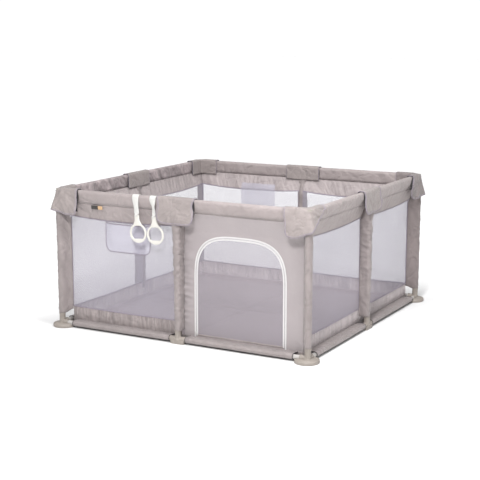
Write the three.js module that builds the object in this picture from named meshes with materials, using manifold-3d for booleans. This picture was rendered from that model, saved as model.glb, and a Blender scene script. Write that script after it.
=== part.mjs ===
// A square indoor playpen: a tube frame on eight feet, a sewn enclosure of mesh walls with a
// zipped arch door, a padded floor mat, fabric covers on the rail joints and two pull-up rings.
// Millimetres, +Z up, origin on the floor under the middle of the pen. The door faces -Y.
import * as THREE from 'three';
import { mergeVertices } from 'three/addons/utils/BufferGeometryUtils.js';
import Module from 'manifold-3d';

// Frame
const HALF_SPAN = 683;
const POST_RADIUS = 12.5;
const RAIL_RADIUS = 11;
const TUBE_WALL = 0.7;
const BASE_RAIL_HEIGHT = 22;
const TOP_RAIL_HEIGHT = 686;
const SOCKET_WALL = 2.5;
const SLIP_GAP = 0.3;
const SOCKET_REACH = 38;
const MID_SOCKET_REACH = 36;
const RAIL_INSET = 18;
const MID_RAIL_INSET = 8;
const POST_FOOT_HEIGHT = 36;
const POST_TOP_HEIGHT = 669;
const FOOT_SOCKET_TOP = 70;
const TOP_SOCKET_BOTTOM = 640;
const CONNECTOR_POST_WALL = 1.5;

// Feet
const FOOT_RADIUS = 58;
const FOOT_SHIFT = 8;
const FOOT_HEIGHT = 20;
const MID_FOOT_WIDTH = 34;
const MID_FOOT_HEIGHT = 20;
const MID_FOOT_CORNER = 8;
const FOOT_CHAMFER = 3;
const FOOT_LEDGE = 6;
const FOOT_STEP = 3;
const SOCKET_START = 1;
const COLLAR_LIP = 1.2;
const COLLAR_HEIGHT = 6;
const COLLAR_CHAMFER = 1;

// Sewn enclosure
const FABRIC = 2;
const WALL_PLANE = 642;
const WALL_BOTTOM = 33;
const WALL_FOLD_HEIGHT = 545;
const SEAM_DISTANCE = 676;
const SEAM_HEIGHT = 632;
const SLEEVE_RADIUS = 13.7;
const SLEEVE_BORE = 11.4;
const BASE_SLEEVE_START_ANGLE = 170;
const BASE_SLEEVE_END_ANGLE = 495;
const TOP_SLEEVE_START_ANGLE = -20;
const TOP_SLEEVE_END_ANGLE = 195;
const BASE_SLEEVE_END = 612;
const CREASE_STEP = 3;
const SLEEVE_BORE_FLOOR = 14;
const NOTCH_GAP = 2;
const MAT_HALF = 639;
const MAT_CORNER = 40;
const MAT_BOTTOM = 1;
const MAT_TOP = 9;

// Arch door and its zip
const DOOR_CENTRE = 312;
const ZIP_HALF_WIDTH = 234;
const ZIP_SPRING_HEIGHT = 300;
const ZIP_CROWN_HEIGHT = 524;
const ARCH_POWER = 3.2;
const ARCH_STEPS = 22;
const OPENING_INSET = 5;
const FLAP_INSET = 5.5;
const DOOR_SILL = 38;
const FLAP_SILL = 38.5;
const SLIDER_HEIGHT = 46;
const SLIDER_LENGTH = 15;
const SLIDER_LOW_HALF = 4.3;
const SLIDER_HIGH_HALF = 3.4;
const SLIDER_DEPTH = 4;
const PULL_HALF = 3;
const PULL_LENGTH = 15;
const PULL_DEPTH = 2;
const PULL_CORNER = 2.5;

// Pocket on the outside of the front wall
const POCKET_CENTRE = -304;
const POCKET_HALF_WIDTH = 128;
const POCKET_BOTTOM = 402;
const POCKET_TOP = 544;
const POCKET_CORNER = 35;
const POCKET_DEPTH = 16;
const POCKET_FABRIC = 2;

// Covers over the rail joints
const COVER_FABRIC = 2.2;
const COVER_TOP = 703;
const COVER_EDGE = 1.8;
const COVER_OUTSIDE = 698.6;
const COVER_INSIDE = 666;
const COVER_HEM = 575;
const COVER_INNER_HEM = 620;
const CORNER_ARM = 120;
const CORNER_FLARE = 8;
const MID_COVER_HALF = 99;
const MID_FLARE = 3;
const MID_COVER_CORNER = 34;

// Pull-up rings and their straps
const RING_PLACES = { left: -213, right: -116 };
const RING_RADIUS = 46;
const RING_HOLE_RADIUS = 37;
const RING_CENTRE_HEIGHT = 518;
const RING_GRIP_ANGLE = 50;
const RING_FLARE_ANGLE = 62;
const RING_DEPTH = 9;
const RING_BEVEL = 1.2;
const EYE_DISTANCE = 700.5;
const EYE_HEIGHT = 604;
const EYE_BAR = 5;
const EYE_WINDOW_HALF = 8.5;
const EYE_WINDOW_BOTTOM = 590;
const NECK_HALF = 13;
const NECK_BEND = 18;
const STRAP_FABRIC = 2.3;
const STRAP_BORE = 14.3;
const STRAP_TOP_HALF = 16;
const STRAP_END_HALF = 7.8;
const STRAP_TAPER_TOP = 672;
const STRAP_TAPER_BOTTOM = 622;
const LOOP_BORE = 5.5;
const STRAP_PAST_TOP = 20;

// Facets
const TUBE_SIDES = 14;
const DISC_SIDES = 24;
const CURVE_STEPS = 7;
const MERGE_DISTANCE = 1e-4;
const CUT_PAST = 1;
const BEYOND = 400;
const QUARTER = Math.PI / 2;
const DEGREE = Math.PI / 180;

const SIDES = ['front', 'right', 'back', 'left'];
const CORNERS = ['front_right', 'back_right', 'back_left', 'front_left'];

const wasm = await Module();
wasm.setup();

const materials = {
  frame: { color: 0x82786f, roughness: 0.45, metalness: 0.3 },
  plastic: { color: 0xa39d92, roughness: 0.55, metalness: 0 },
  fabric: { color: 0xb8afa9, roughness: 0.85, metalness: 0 },
  mesh: { color: 0xd5d3dc, roughness: 0.8, metalness: 0 },
  mat: { color: 0xb0aab2, roughness: 0.9, metalness: 0 },
  webbing: { color: 0xf2f1ee, roughness: 0.8, metalness: 0 },
  ring: { color: 0xece9e2, roughness: 0.4, metalness: 0 },
  slider: { color: 0x8d8a88, roughness: 0.35, metalness: 0.6 },
};

const playpen = new THREE.Group();

// A closed geometry as a solid that can be joined and cut
function solid(geometry) {
  const bare = geometry.clone();
  bare.deleteAttribute('normal');
  bare.deleteAttribute('uv');
  const merged = mergeVertices(bare, MERGE_DISTANCE);
  const corners = merged.index.array;
  const kept = [];
  for (let i = 0; i < corners.length; i += 3) {
    const [a, b, c] = [corners[i], corners[i + 1], corners[i + 2]];
    if (a !== b && b !== c && c !== a) kept.push(a, b, c);
  }
  const vertProperties = new Float32Array(merged.attributes.position.array);
  const triVerts = new Uint32Array(kept);
  return new wasm.Manifold(new wasm.Mesh({ numProp: 3, vertProperties, triVerts }));
}

function joined(...solids) {
  return solids.reduce((all, next) => all.add(next));
}

function addPiece(name, material, shape, quarterTurns = 0) {
  const mesh = shape.getMesh();
  const geometry = new THREE.BufferGeometry();
  geometry.setAttribute('position', new THREE.BufferAttribute(mesh.vertProperties, 3));
  geometry.setIndex(new THREE.BufferAttribute(mesh.triVerts, 1));
  geometry.computeVertexNormals();
  const piece = new THREE.Mesh(geometry, new THREE.MeshStandardMaterial(materials[material]));
  piece.name = name;
  piece.rotation.z = quarterTurns * QUARTER;
  playpen.add(piece);
}

// A box from its lowest to its highest corner
function box(low, high) {
  const size = high.map((value, i) => value - low[i]);
  const middle = high.map((value, i) => (value + low[i]) / 2);
  return solid(new THREE.BoxGeometry(...size).translate(...middle));
}

// A solid turned about an upright axis: points are (radius, height), from axis to axis
function turned(points, x, y, sides = TUBE_SIDES) {
  const outline = points.map(([radius, height]) => new THREE.Vector2(radius, height));
  const geometry = new THREE.LatheGeometry(outline, sides);
  return solid(geometry.rotateX(QUARTER).translate(x, y, 0));
}

function uprightRod(radius, bottom, top, x, y) {
  return turned([[0, bottom], [radius, bottom], [radius, top], [0, top]], x, y);
}

function lyingRod(radius, from, to) {
  const length = Math.hypot(to[0] - from[0], to[1] - from[1]);
  const geometry = new THREE.CylinderGeometry(radius, radius, length, TUBE_SIDES);
  if (from[0] !== to[0]) geometry.rotateZ(QUARTER);
  const middle = from.map((value, i) => (value + to[i]) / 2);
  return solid(geometry.translate(...middle));
}

// A cross-section drawn as (distance out from the middle, height), run along the front side
function sideRun(shape, from, to) {
  const settings = { depth: to - from, bevelEnabled: false, curveSegments: CURVE_STEPS };
  const geometry = new THREE.ExtrudeGeometry(shape, settings);
  const along = new THREE.Matrix4().makeBasis(
    new THREE.Vector3(0, -1, 0),
    new THREE.Vector3(0, 0, 1),
    new THREE.Vector3(-1, 0, 0),
  );
  return solid(geometry.applyMatrix4(along).translate(to, 0, 0));
}

// An outline drawn as seen from the front (x, height), given a thickness between two distances out
function frontPlate(shape, inner, outer, bevel = 0) {
  const geometry = new THREE.ExtrudeGeometry(shape, {
    depth: outer - inner - 2 * bevel,
    bevelEnabled: bevel > 0,
    bevelThickness: bevel,
    bevelSize: bevel,
    bevelOffset: -bevel,
    bevelSegments: 2,
    curveSegments: CURVE_STEPS,
  });
  return solid(geometry.rotateX(QUARTER).translate(0, -inner - bevel, 0));
}

function polygon(points) {
  return new THREE.Shape(points.map(([x, y]) => new THREE.Vector2(x, y)));
}

function roundedRectangle(halfWidth, halfLength, radius) {
  const shape = new THREE.Shape();
  shape.absarc(halfWidth - radius, halfLength - radius, radius, 0, QUARTER);
  shape.absarc(radius - halfWidth, halfLength - radius, radius, QUARTER, 2 * QUARTER);
  shape.absarc(radius - halfWidth, radius - halfLength, radius, 2 * QUARTER, 3 * QUARTER);
  shape.absarc(halfWidth - radius, radius - halfLength, radius, 3 * QUARTER, 4 * QUARTER);
  return shape;
}

// A flap outline with a straight top and two rounded lower corners
function flapOutline(centre, halfWidth, bottom, top, radius) {
  const shape = new THREE.Shape();
  shape.absarc(centre - halfWidth + radius, bottom + radius, radius, 2 * QUARTER, 3 * QUARTER);
  shape.absarc(centre + halfWidth - radius, bottom + radius, radius, 3 * QUARTER, 4 * QUARTER);
  shape.lineTo(centre + halfWidth, top);
  shape.lineTo(centre - halfWidth, top);
  return shape;
}

// ---- Frame: feet, posts, rails and the connectors at the top

const SOCKET_RADIUS = POST_RADIUS + SOCKET_WALL;
const RAIL_SOCKET_RADIUS = RAIL_RADIUS + SOCKET_WALL;

function hollowPost(x, y) {
  const outside = uprightRod(POST_RADIUS, POST_FOOT_HEIGHT + SLIP_GAP, POST_TOP_HEIGHT - SLIP_GAP, x, y);
  const bore = POST_RADIUS - TUBE_WALL;
  return outside.subtract(uprightRod(bore, 0, TOP_RAIL_HEIGHT, x, y));
}

function hollowRail(height, from, to) {
  const outside = lyingRod(RAIL_RADIUS, [from, -HALF_SPAN, height], [to, -HALF_SPAN, height]);
  const bore = RAIL_RADIUS - TUBE_WALL;
  return outside.subtract(
    lyingRod(bore, [from - CUT_PAST, -HALF_SPAN, height], [to + CUT_PAST, -HALF_SPAN, height]),
  );
}

function postBore(bottom, top, x, y) {
  return uprightRod(POST_RADIUS + SLIP_GAP, bottom, top, x, y);
}

// Bores for the two rails that meet at the front right corner
function cornerRailBores(height, reach) {
  const start = HALF_SPAN - RAIL_INSET;
  const end = HALF_SPAN - reach - CUT_PAST;
  return joined(
    lyingRod(RAIL_RADIUS + SLIP_GAP, [start, -HALF_SPAN, height], [end, -HALF_SPAN, height]),
    lyingRod(RAIL_RADIUS + SLIP_GAP, [HALF_SPAN, -start, height], [HALF_SPAN, -end, height]),
  );
}

function cornerSockets(height) {
  const end = HALF_SPAN - SOCKET_REACH;
  return joined(
    lyingRod(RAIL_SOCKET_RADIUS, [HALF_SPAN, -HALF_SPAN, height], [end, -HALF_SPAN, height]),
    lyingRod(RAIL_SOCKET_RADIUS, [HALF_SPAN, -HALF_SPAN, height], [HALF_SPAN, -end, height]),
  );
}

function midRailBores(height) {
  const end = MID_SOCKET_REACH + CUT_PAST;
  return joined(
    ...[-1, 1].map((hand) =>
      lyingRod(
        RAIL_RADIUS + SLIP_GAP,
        [hand * MID_RAIL_INSET, -HALF_SPAN, height],
        [hand * end, -HALF_SPAN, height],
      ),
    ),
  );
}

// Upright socket with a thicker collar at its mouth
function footSocket(x, y) {
  const collar = SOCKET_RADIUS + COLLAR_LIP;
  const collarTop = FOOT_SOCKET_TOP - COLLAR_CHAMFER;
  const collarBottom = collarTop - COLLAR_HEIGHT;
  const outline = [
    [0, SOCKET_START],
    [SOCKET_RADIUS, SOCKET_START],
    [SOCKET_RADIUS, collarBottom - COLLAR_CHAMFER],
    [collar, collarBottom],
    [collar, collarTop],
    [SOCKET_RADIUS, FOOT_SOCKET_TOP],
    [0, FOOT_SOCKET_TOP],
  ];
  return turned(outline, x, y);
}

function cornerFoot() {
  const middle = HALF_SPAN - FOOT_SHIFT;
  const bevelled = FOOT_RADIUS - FOOT_CHAMFER;
  const ledge = FOOT_HEIGHT - FOOT_STEP;
  const disc = turned(
    [
      [0, 0],
      [bevelled, 0],
      [FOOT_RADIUS, FOOT_CHAMFER],
      [FOOT_RADIUS, ledge - FOOT_CHAMFER],
      [bevelled, ledge],
      [bevelled - FOOT_LEDGE, ledge],
      [bevelled - FOOT_LEDGE - FOOT_STEP, FOOT_HEIGHT],
      [0, FOOT_HEIGHT],
    ],
    middle,
    -middle,
    DISC_SIDES,
  );
  return joined(disc, cornerSockets(BASE_RAIL_HEIGHT), footSocket(HALF_SPAN, -HALF_SPAN))
    .subtract(cornerRailBores(BASE_RAIL_HEIGHT, 2 * FOOT_RADIUS))
    .subtract(postBore(POST_FOOT_HEIGHT, FOOT_SOCKET_TOP + CUT_PAST, HALF_SPAN, -HALF_SPAN));
}

function midFoot() {
  const plan = roundedRectangle(MID_SOCKET_REACH - 1, MID_FOOT_WIDTH / 2, MID_FOOT_CORNER);
  const block = new THREE.ExtrudeGeometry(plan, {
    depth: MID_FOOT_HEIGHT,
    bevelEnabled: false,
    curveSegments: CURVE_STEPS,
  });
  const reach = MID_SOCKET_REACH;
  return joined(
    solid(block.translate(0, -HALF_SPAN, 0)),
    lyingRod(
      RAIL_SOCKET_RADIUS,
      [-reach, -HALF_SPAN, BASE_RAIL_HEIGHT],
      [reach, -HALF_SPAN, BASE_RAIL_HEIGHT],
    ),
    footSocket(0, -HALF_SPAN),
  )
    .subtract(midRailBores(BASE_RAIL_HEIGHT))
    .subtract(postBore(POST_FOOT_HEIGHT, FOOT_SOCKET_TOP + CUT_PAST, 0, -HALF_SPAN));
}

function cornerConnector() {
  const [x, y] = [HALF_SPAN, -HALF_SPAN];
  const radius = POST_RADIUS + CONNECTOR_POST_WALL;
  return joined(
    uprightRod(radius, TOP_SOCKET_BOTTOM, TOP_RAIL_HEIGHT + RAIL_SOCKET_RADIUS, x, y),
    cornerSockets(TOP_RAIL_HEIGHT),
  )
    .subtract(cornerRailBores(TOP_RAIL_HEIGHT, SOCKET_REACH))
    .subtract(postBore(TOP_SOCKET_BOTTOM - CUT_PAST, POST_TOP_HEIGHT, x, y));
}

function midConnector() {
  const reach = MID_SOCKET_REACH;
  return joined(
    uprightRod(
      POST_RADIUS + CONNECTOR_POST_WALL,
      TOP_SOCKET_BOTTOM,
      TOP_RAIL_HEIGHT,
      0,
      -HALF_SPAN,
    ),
    lyingRod(
      RAIL_SOCKET_RADIUS,
      [-reach, -HALF_SPAN, TOP_RAIL_HEIGHT],
      [reach, -HALF_SPAN, TOP_RAIL_HEIGHT],
    ),
  )
    .subtract(midRailBores(TOP_RAIL_HEIGHT))
    .subtract(postBore(TOP_SOCKET_BOTTOM - CUT_PAST, POST_TOP_HEIGHT, 0, -HALF_SPAN));
}

// ---- Sewn enclosure: four walls with their rail sleeves, the floor mat and the arch door

// Wall section from the base rail's sleeve, up the wall, out over the fold to the top rail's sleeve
function wallSection() {
  const outer = WALL_PLANE + FABRIC / 2;
  const inner = WALL_PLANE - FABRIC / 2;
  const baseStart = BASE_SLEEVE_START_ANGLE * DEGREE;
  const baseEnd = BASE_SLEEVE_END_ANGLE * DEGREE;
  const topStart = TOP_SLEEVE_START_ANGLE * DEGREE;
  const topEnd = TOP_SLEEVE_END_ANGLE * DEGREE;
  const section = new THREE.Shape();
  section.absarc(HALF_SPAN, BASE_RAIL_HEIGHT, SLEEVE_RADIUS, baseStart, baseEnd);
  section.lineTo(outer, WALL_BOTTOM + CREASE_STEP);
  section.lineTo(outer, WALL_FOLD_HEIGHT);
  section.lineTo(SEAM_DISTANCE + FABRIC / 2, SEAM_HEIGHT);
  section.absarc(HALF_SPAN, TOP_RAIL_HEIGHT, SLEEVE_RADIUS, topStart, topEnd);
  section.lineTo(SEAM_DISTANCE - FABRIC / 2, SEAM_HEIGHT + FABRIC);
  section.lineTo(inner, WALL_FOLD_HEIGHT);
  section.lineTo(inner, WALL_BOTTOM);

  const baseBore = new THREE.Path();
  baseBore.absarc(HALF_SPAN, BASE_RAIL_HEIGHT, SLEEVE_BORE, 0, 4 * QUARTER);
  const topBore = new THREE.Path();
  topBore.absarc(HALF_SPAN, TOP_RAIL_HEIGHT, SLEEVE_BORE, topStart, topEnd);
  topBore.lineTo(SEAM_DISTANCE + FABRIC / 2, SEAM_HEIGHT + SLEEVE_BORE_FLOOR);
  section.holes.push(baseBore, topBore);
  return section;
}

// Room in a wall for the middle post, its foot and its connector, and for the corner feet
function wallNotches() {
  const inside = -WALL_PLANE - FABRIC;
  const outside = -HALF_SPAN - 2 * RAIL_RADIUS;
  const arms = MID_SOCKET_REACH + NOTCH_GAP;
  const armsBottom = TOP_RAIL_HEIGHT - RAIL_SOCKET_RADIUS - NOTCH_GAP;
  const post = SOCKET_RADIUS + NOTCH_GAP / 2;
  const top = TOP_RAIL_HEIGHT + 2 * RAIL_RADIUS;
  const postInside = -HALF_SPAN + POST_RADIUS + FABRIC;
  const notches = [
    box([-arms, outside, armsBottom], [arms, postInside + NOTCH_GAP, top]),
    box([-post, outside, 0], [post, postInside, top]),
    box([-arms, outside, -CUT_PAST], [arms, inside - 3 * NOTCH_GAP, FOOT_SOCKET_TOP]),
  ];
  for (const hand of [-1, 1]) {
    const [near, far] = [hand * BASE_SLEEVE_END, hand * HALF_SPAN];
    const [low, high] = [Math.min(near, far), Math.max(near, far)];
    notches.push(
      box([low, outside, -CUT_PAST], [high, inside - 2 * NOTCH_GAP, FOOT_SOCKET_TOP]),
    );
  }
  return joined(...notches);
}

function wall(halfLength) {
  return sideRun(wallSection(), -halfLength, halfLength).subtract(wallNotches());
}

// The arch that the zip follows, drawn some way inside the zip's centre line, down to a sill
function arch(inset, sill) {
  const halfWidth = ZIP_HALF_WIDTH - inset;
  const rise = ZIP_CROWN_HEIGHT - inset - ZIP_SPRING_HEIGHT;
  const points = [[DOOR_CENTRE + halfWidth, sill]];
  for (let step = 0; step <= ARCH_STEPS; step += 1) {
    const angle = (Math.PI * step) / ARCH_STEPS;
    const across = Math.abs(Math.cos(angle)) ** (2 / ARCH_POWER) * Math.sign(Math.cos(angle));
    const up = Math.sin(angle) ** (2 / ARCH_POWER);
    points.push([DOOR_CENTRE + halfWidth * across, ZIP_SPRING_HEIGHT + rise * up]);
  }
  points.push([DOOR_CENTRE - halfWidth, sill]);
  return polygon(points);
}

const WALL_INNER_FACE = WALL_PLANE - FABRIC / 2;
const WALL_OUTER_FACE = WALL_PLANE + FABRIC / 2;

function doorFlap() {
  return frontPlate(arch(FLAP_INSET, FLAP_SILL), WALL_INNER_FACE, WALL_OUTER_FACE);
}

function doorOpening() {
  const past = FABRIC;
  return frontPlate(arch(OPENING_INSET, DOOR_SILL), WALL_INNER_FACE - past, WALL_OUTER_FACE + past);
}

function zipSlider() {
  const x = DOOR_CENTRE - ZIP_HALF_WIDTH;
  const start = WALL_OUTER_FACE + SLIP_GAP;
  const top = SLIDER_HEIGHT + SLIDER_LENGTH;
  const body = polygon([
    [x - SLIDER_LOW_HALF, SLIDER_HEIGHT],
    [x + SLIDER_LOW_HALF, SLIDER_HEIGHT],
    [x + SLIDER_HIGH_HALF, top],
    [x - SLIDER_HIGH_HALF, top],
  ]);
  const pullTop = top - PULL_HALF;
  const pull = flapOutline(x, PULL_HALF, pullTop - PULL_LENGTH, pullTop, PULL_CORNER);
  const face = start + SLIDER_DEPTH;
  const sunk = SLIP_GAP;
  return joined(
    frontPlate(body, start, face),
    frontPlate(pull, face - sunk, face - sunk + PULL_DEPTH),
  );
}

function floorMat() {
  const plan = roundedRectangle(MAT_HALF, MAT_HALF, MAT_CORNER);
  const pad = new THREE.ExtrudeGeometry(plan, {
    depth: MAT_TOP - MAT_BOTTOM,
    bevelEnabled: false,
    curveSegments: CURVE_STEPS,
  });
  return solid(pad.translate(0, 0, MAT_BOTTOM));
}

function frontPocket() {
  const start = WALL_OUTER_FACE + SLIP_GAP;
  const whole = flapOutline(
    POCKET_CENTRE,
    POCKET_HALF_WIDTH,
    POCKET_BOTTOM,
    POCKET_TOP,
    POCKET_CORNER,
  );
  const hollow = flapOutline(
    POCKET_CENTRE,
    POCKET_HALF_WIDTH - POCKET_FABRIC,
    POCKET_BOTTOM + POCKET_FABRIC,
    POCKET_TOP + CUT_PAST,
    POCKET_CORNER - POCKET_FABRIC,
  );
  const bag = frontPlate(whole, start, start + POCKET_DEPTH);
  return bag.subtract(frontPlate(hollow, start - CUT_PAST, start + POCKET_DEPTH - POCKET_FABRIC));
}

// ---- Covers over the corners and the middle joints

// Inverted channel: a long outer flap that stands out at its hem, and a short inner flap
function coverSection(flare) {
  return polygon([
    [COVER_OUTSIDE + flare, COVER_HEM],
    [COVER_OUTSIDE + flare + COVER_FABRIC, COVER_HEM],
    [COVER_OUTSIDE + COVER_FABRIC, COVER_TOP - COVER_EDGE],
    [COVER_OUTSIDE + COVER_FABRIC - COVER_EDGE, COVER_TOP],
    [COVER_INSIDE - COVER_FABRIC + COVER_EDGE, COVER_TOP],
    [COVER_INSIDE - COVER_FABRIC, COVER_TOP - COVER_EDGE],
    [COVER_INSIDE - COVER_FABRIC, COVER_INNER_HEM],
    [COVER_INSIDE, COVER_INNER_HEM],
    [COVER_INSIDE, COVER_TOP - COVER_FABRIC],
    [COVER_OUTSIDE, COVER_TOP - COVER_FABRIC],
  ]);
}

// The room in front of the pen's two diagonals, with a little past each for a joined mitre
function frontWedge() {
  const reach = HALF_SPAN + BEYOND;
  const past = SLIP_GAP;
  const plan = polygon([
    [-past, 0],
    [-reach - past, -reach],
    [reach + past, -reach],
    [past, 0],
  ]);
  const wedge = new THREE.ExtrudeGeometry(plan, { depth: 2 * TOP_RAIL_HEIGHT, bevelEnabled: false });
  return solid(wedge);
}

function cornerCover() {
  const section = coverSection(CORNER_FLARE);
  const wedge = frontWedge();
  const inner = HALF_SPAN - CORNER_ARM;
  const outer = HALF_SPAN + BEYOND;
  const frontArm = sideRun(section, inner, outer).intersect(wedge);
  const rightArm = sideRun(section, -outer, -inner).intersect(wedge).rotate([0, 0, 90]);
  return frontArm.add(rightArm);
}

function midCover() {
  const outline = flapOutline(0, MID_COVER_HALF, COVER_HEM, COVER_TOP + 1, MID_COVER_CORNER);
  const channel = sideRun(coverSection(MID_FLARE), -MID_COVER_HALF - 1, MID_COVER_HALF + 1);
  return channel.intersect(frontPlate(outline, WALL_PLANE, HALF_SPAN + BEYOND));
}

// ---- Pull-up rings: a ring with a flat grip and a neck with an eye, hung on a webbing strap

function pullRing(x) {
  const grip = RING_GRIP_ANGLE * DEGREE;
  const flare = RING_FLARE_ANGLE * DEGREE;
  const [left, right] = [x - NECK_HALF, x + NECK_HALF];
  const neckTop = EYE_HEIGHT + EYE_BAR / 2;
  const bend = EYE_WINDOW_BOTTOM - NECK_BEND;
  const start = Math.PI - flare;
  const outline = new THREE.Shape();
  outline.moveTo(left, neckTop);
  outline.lineTo(left, EYE_WINDOW_BOTTOM);
  outline.quadraticCurveTo(
    left - 1,
    bend,
    x + RING_RADIUS * Math.cos(start),
    RING_CENTRE_HEIGHT + RING_RADIUS * Math.sin(start),
  );
  outline.absarc(x, RING_CENTRE_HEIGHT, RING_RADIUS, start, 2 * Math.PI + flare);
  outline.quadraticCurveTo(right + 1, bend, right, EYE_WINDOW_BOTTOM);
  outline.lineTo(right, neckTop);
  const hole = new THREE.Path();
  hole.absarc(x, RING_CENTRE_HEIGHT + 1, RING_HOLE_RADIUS, -grip, Math.PI + grip);
  const windowLow = EYE_WINDOW_BOTTOM;
  const windowHigh = EYE_HEIGHT - EYE_BAR / 2;
  const eye = new THREE.Path();
  eye.moveTo(x - EYE_WINDOW_HALF, windowLow);
  eye.lineTo(x + EYE_WINDOW_HALF, windowLow);
  eye.lineTo(x + EYE_WINDOW_HALF, windowHigh);
  eye.lineTo(x - EYE_WINDOW_HALF, windowHigh);
  outline.holes.push(hole, eye);
  const half = RING_DEPTH / 2;
  return frontPlate(outline, EYE_DISTANCE - half, EYE_DISTANCE + half, RING_BEVEL);
}

// Webbing from the top of the rail, down its outside, to a sewn loop through the ring's eye
function pullStrap(x) {
  const outerRadius = STRAP_BORE + STRAP_FABRIC;
  const past = STRAP_PAST_TOP * DEGREE;
  const [u, z] = [HALF_SPAN, TOP_RAIL_HEIGHT];
  const tailEnd = EYE_HEIGHT + LOOP_BORE + STRAP_FABRIC / 2;
  const tail = new THREE.Shape();
  tail.moveTo(u + STRAP_BORE, tailEnd);
  tail.lineTo(u + outerRadius, tailEnd);
  tail.absarc(u, z, outerRadius, 0, QUARTER + past);
  tail.absarc(u, z, STRAP_BORE, QUARTER + past, 0, true);

  const loop = new THREE.Shape();
  loop.absarc(EYE_DISTANCE, EYE_HEIGHT, LOOP_BORE + STRAP_FABRIC, 0, 4 * QUARTER);
  const loopHole = new THREE.Path();
  loopHole.absarc(EYE_DISTANCE, EYE_HEIGHT, LOOP_BORE, 0, 4 * QUARTER);
  loop.holes.push(loopHole);

  const run = [x - STRAP_TOP_HALF, x + STRAP_TOP_HALF];
  const taper = polygon([
    [x - STRAP_TOP_HALF, COVER_TOP + CUT_PAST],
    [x - STRAP_TOP_HALF, STRAP_TAPER_TOP],
    [x - STRAP_END_HALF, STRAP_TAPER_BOTTOM],
    [x - STRAP_END_HALF, EYE_WINDOW_BOTTOM],
    [x + STRAP_END_HALF, EYE_WINDOW_BOTTOM],
    [x + STRAP_END_HALF, STRAP_TAPER_BOTTOM],
    [x + STRAP_TOP_HALF, STRAP_TAPER_TOP],
    [x + STRAP_TOP_HALF, COVER_TOP + CUT_PAST],
  ]);
  return sideRun(tail, ...run)
    .add(sideRun(loop, ...run))
    .intersect(frontPlate(taper, WALL_PLANE, HALF_SPAN + BEYOND));
}

// ---- Assembly

CORNERS.forEach((corner, turns) => {
  addPiece(`corner_foot_${corner}`, 'plastic', cornerFoot(), turns);
  addPiece(`corner_post_${corner}`, 'frame', hollowPost(HALF_SPAN, -HALF_SPAN), turns);
  addPiece(`corner_connector_${corner}`, 'plastic', cornerConnector(), turns);
  addPiece(`corner_cover_${corner}`, 'fabric', cornerCover(), turns);
});

SIDES.forEach((side, turns) => {
  addPiece(`mid_foot_${side}`, 'plastic', midFoot(), turns);
  addPiece(`mid_post_${side}`, 'frame', hollowPost(0, -HALF_SPAN), turns);
  addPiece(`mid_connector_${side}`, 'plastic', midConnector(), turns);
  addPiece(`mid_cover_${side}`, 'fabric', midCover(), turns);

  const cornerEnd = HALF_SPAN - RAIL_INSET - SLIP_GAP;
  const midEnd = MID_RAIL_INSET + SLIP_GAP;
  const levels = { base: BASE_RAIL_HEIGHT, top: TOP_RAIL_HEIGHT };
  for (const [level, height] of Object.entries(levels)) {
    addPiece(`${level}_rail_${side}_a`, 'frame', hollowRail(height, -cornerEnd, -midEnd), turns);
    addPiece(`${level}_rail_${side}_b`, 'frame', hollowRail(height, midEnd, cornerEnd), turns);
  }
});

const longWall = wall(WALL_OUTER_FACE);
const shortWall = wall(WALL_INNER_FACE - SLIP_GAP);
addPiece('wall_front', 'mesh', longWall.subtract(doorOpening()));
addPiece('wall_right', 'mesh', shortWall, 1);
addPiece('wall_back', 'mesh', longWall, 2);
addPiece('wall_left', 'mesh', shortWall, 3);
addPiece('floor_mat', 'mat', floorMat());
addPiece('door_flap', 'mesh', doorFlap());
addPiece('zip_slider', 'slider', zipSlider());
addPiece('front_pocket', 'mesh', frontPocket());

for (const [hand, x] of Object.entries(RING_PLACES)) {
  addPiece(`pull_strap_${hand}`, 'webbing', pullStrap(x));
  addPiece(`pull_ring_${hand}`, 'ring', pullRing(x));
}

export default playpen;
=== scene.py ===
import math

import bpy
import numpy as np
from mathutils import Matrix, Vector, noise


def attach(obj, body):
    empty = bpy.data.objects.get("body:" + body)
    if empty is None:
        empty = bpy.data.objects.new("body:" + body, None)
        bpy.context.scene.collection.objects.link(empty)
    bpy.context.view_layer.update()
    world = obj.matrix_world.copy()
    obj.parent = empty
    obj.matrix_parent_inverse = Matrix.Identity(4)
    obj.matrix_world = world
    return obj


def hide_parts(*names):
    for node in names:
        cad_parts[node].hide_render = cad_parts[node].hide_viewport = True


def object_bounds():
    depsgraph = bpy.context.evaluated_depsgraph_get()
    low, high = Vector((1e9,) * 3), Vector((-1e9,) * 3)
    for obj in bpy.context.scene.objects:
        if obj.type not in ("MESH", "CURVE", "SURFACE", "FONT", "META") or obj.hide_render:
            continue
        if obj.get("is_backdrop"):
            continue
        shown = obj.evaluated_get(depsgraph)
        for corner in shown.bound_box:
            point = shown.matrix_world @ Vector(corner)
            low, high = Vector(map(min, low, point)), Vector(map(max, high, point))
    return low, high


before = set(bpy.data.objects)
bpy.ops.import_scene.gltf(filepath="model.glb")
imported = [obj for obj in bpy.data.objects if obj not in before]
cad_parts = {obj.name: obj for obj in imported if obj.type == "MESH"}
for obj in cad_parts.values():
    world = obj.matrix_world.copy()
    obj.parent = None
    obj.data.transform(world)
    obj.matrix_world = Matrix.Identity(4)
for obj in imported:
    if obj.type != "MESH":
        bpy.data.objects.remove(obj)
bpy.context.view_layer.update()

# Everything below is drawn in millimetres in a side's own frame: (along the side, out from
# the middle of the pen, up). place() turns it to the side it belongs to, in metres.
MM = 0.001
SIDES = ["front", "right", "back", "left"]
CORNERS = ["front_right", "back_right", "back_left", "front_left"]

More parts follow.
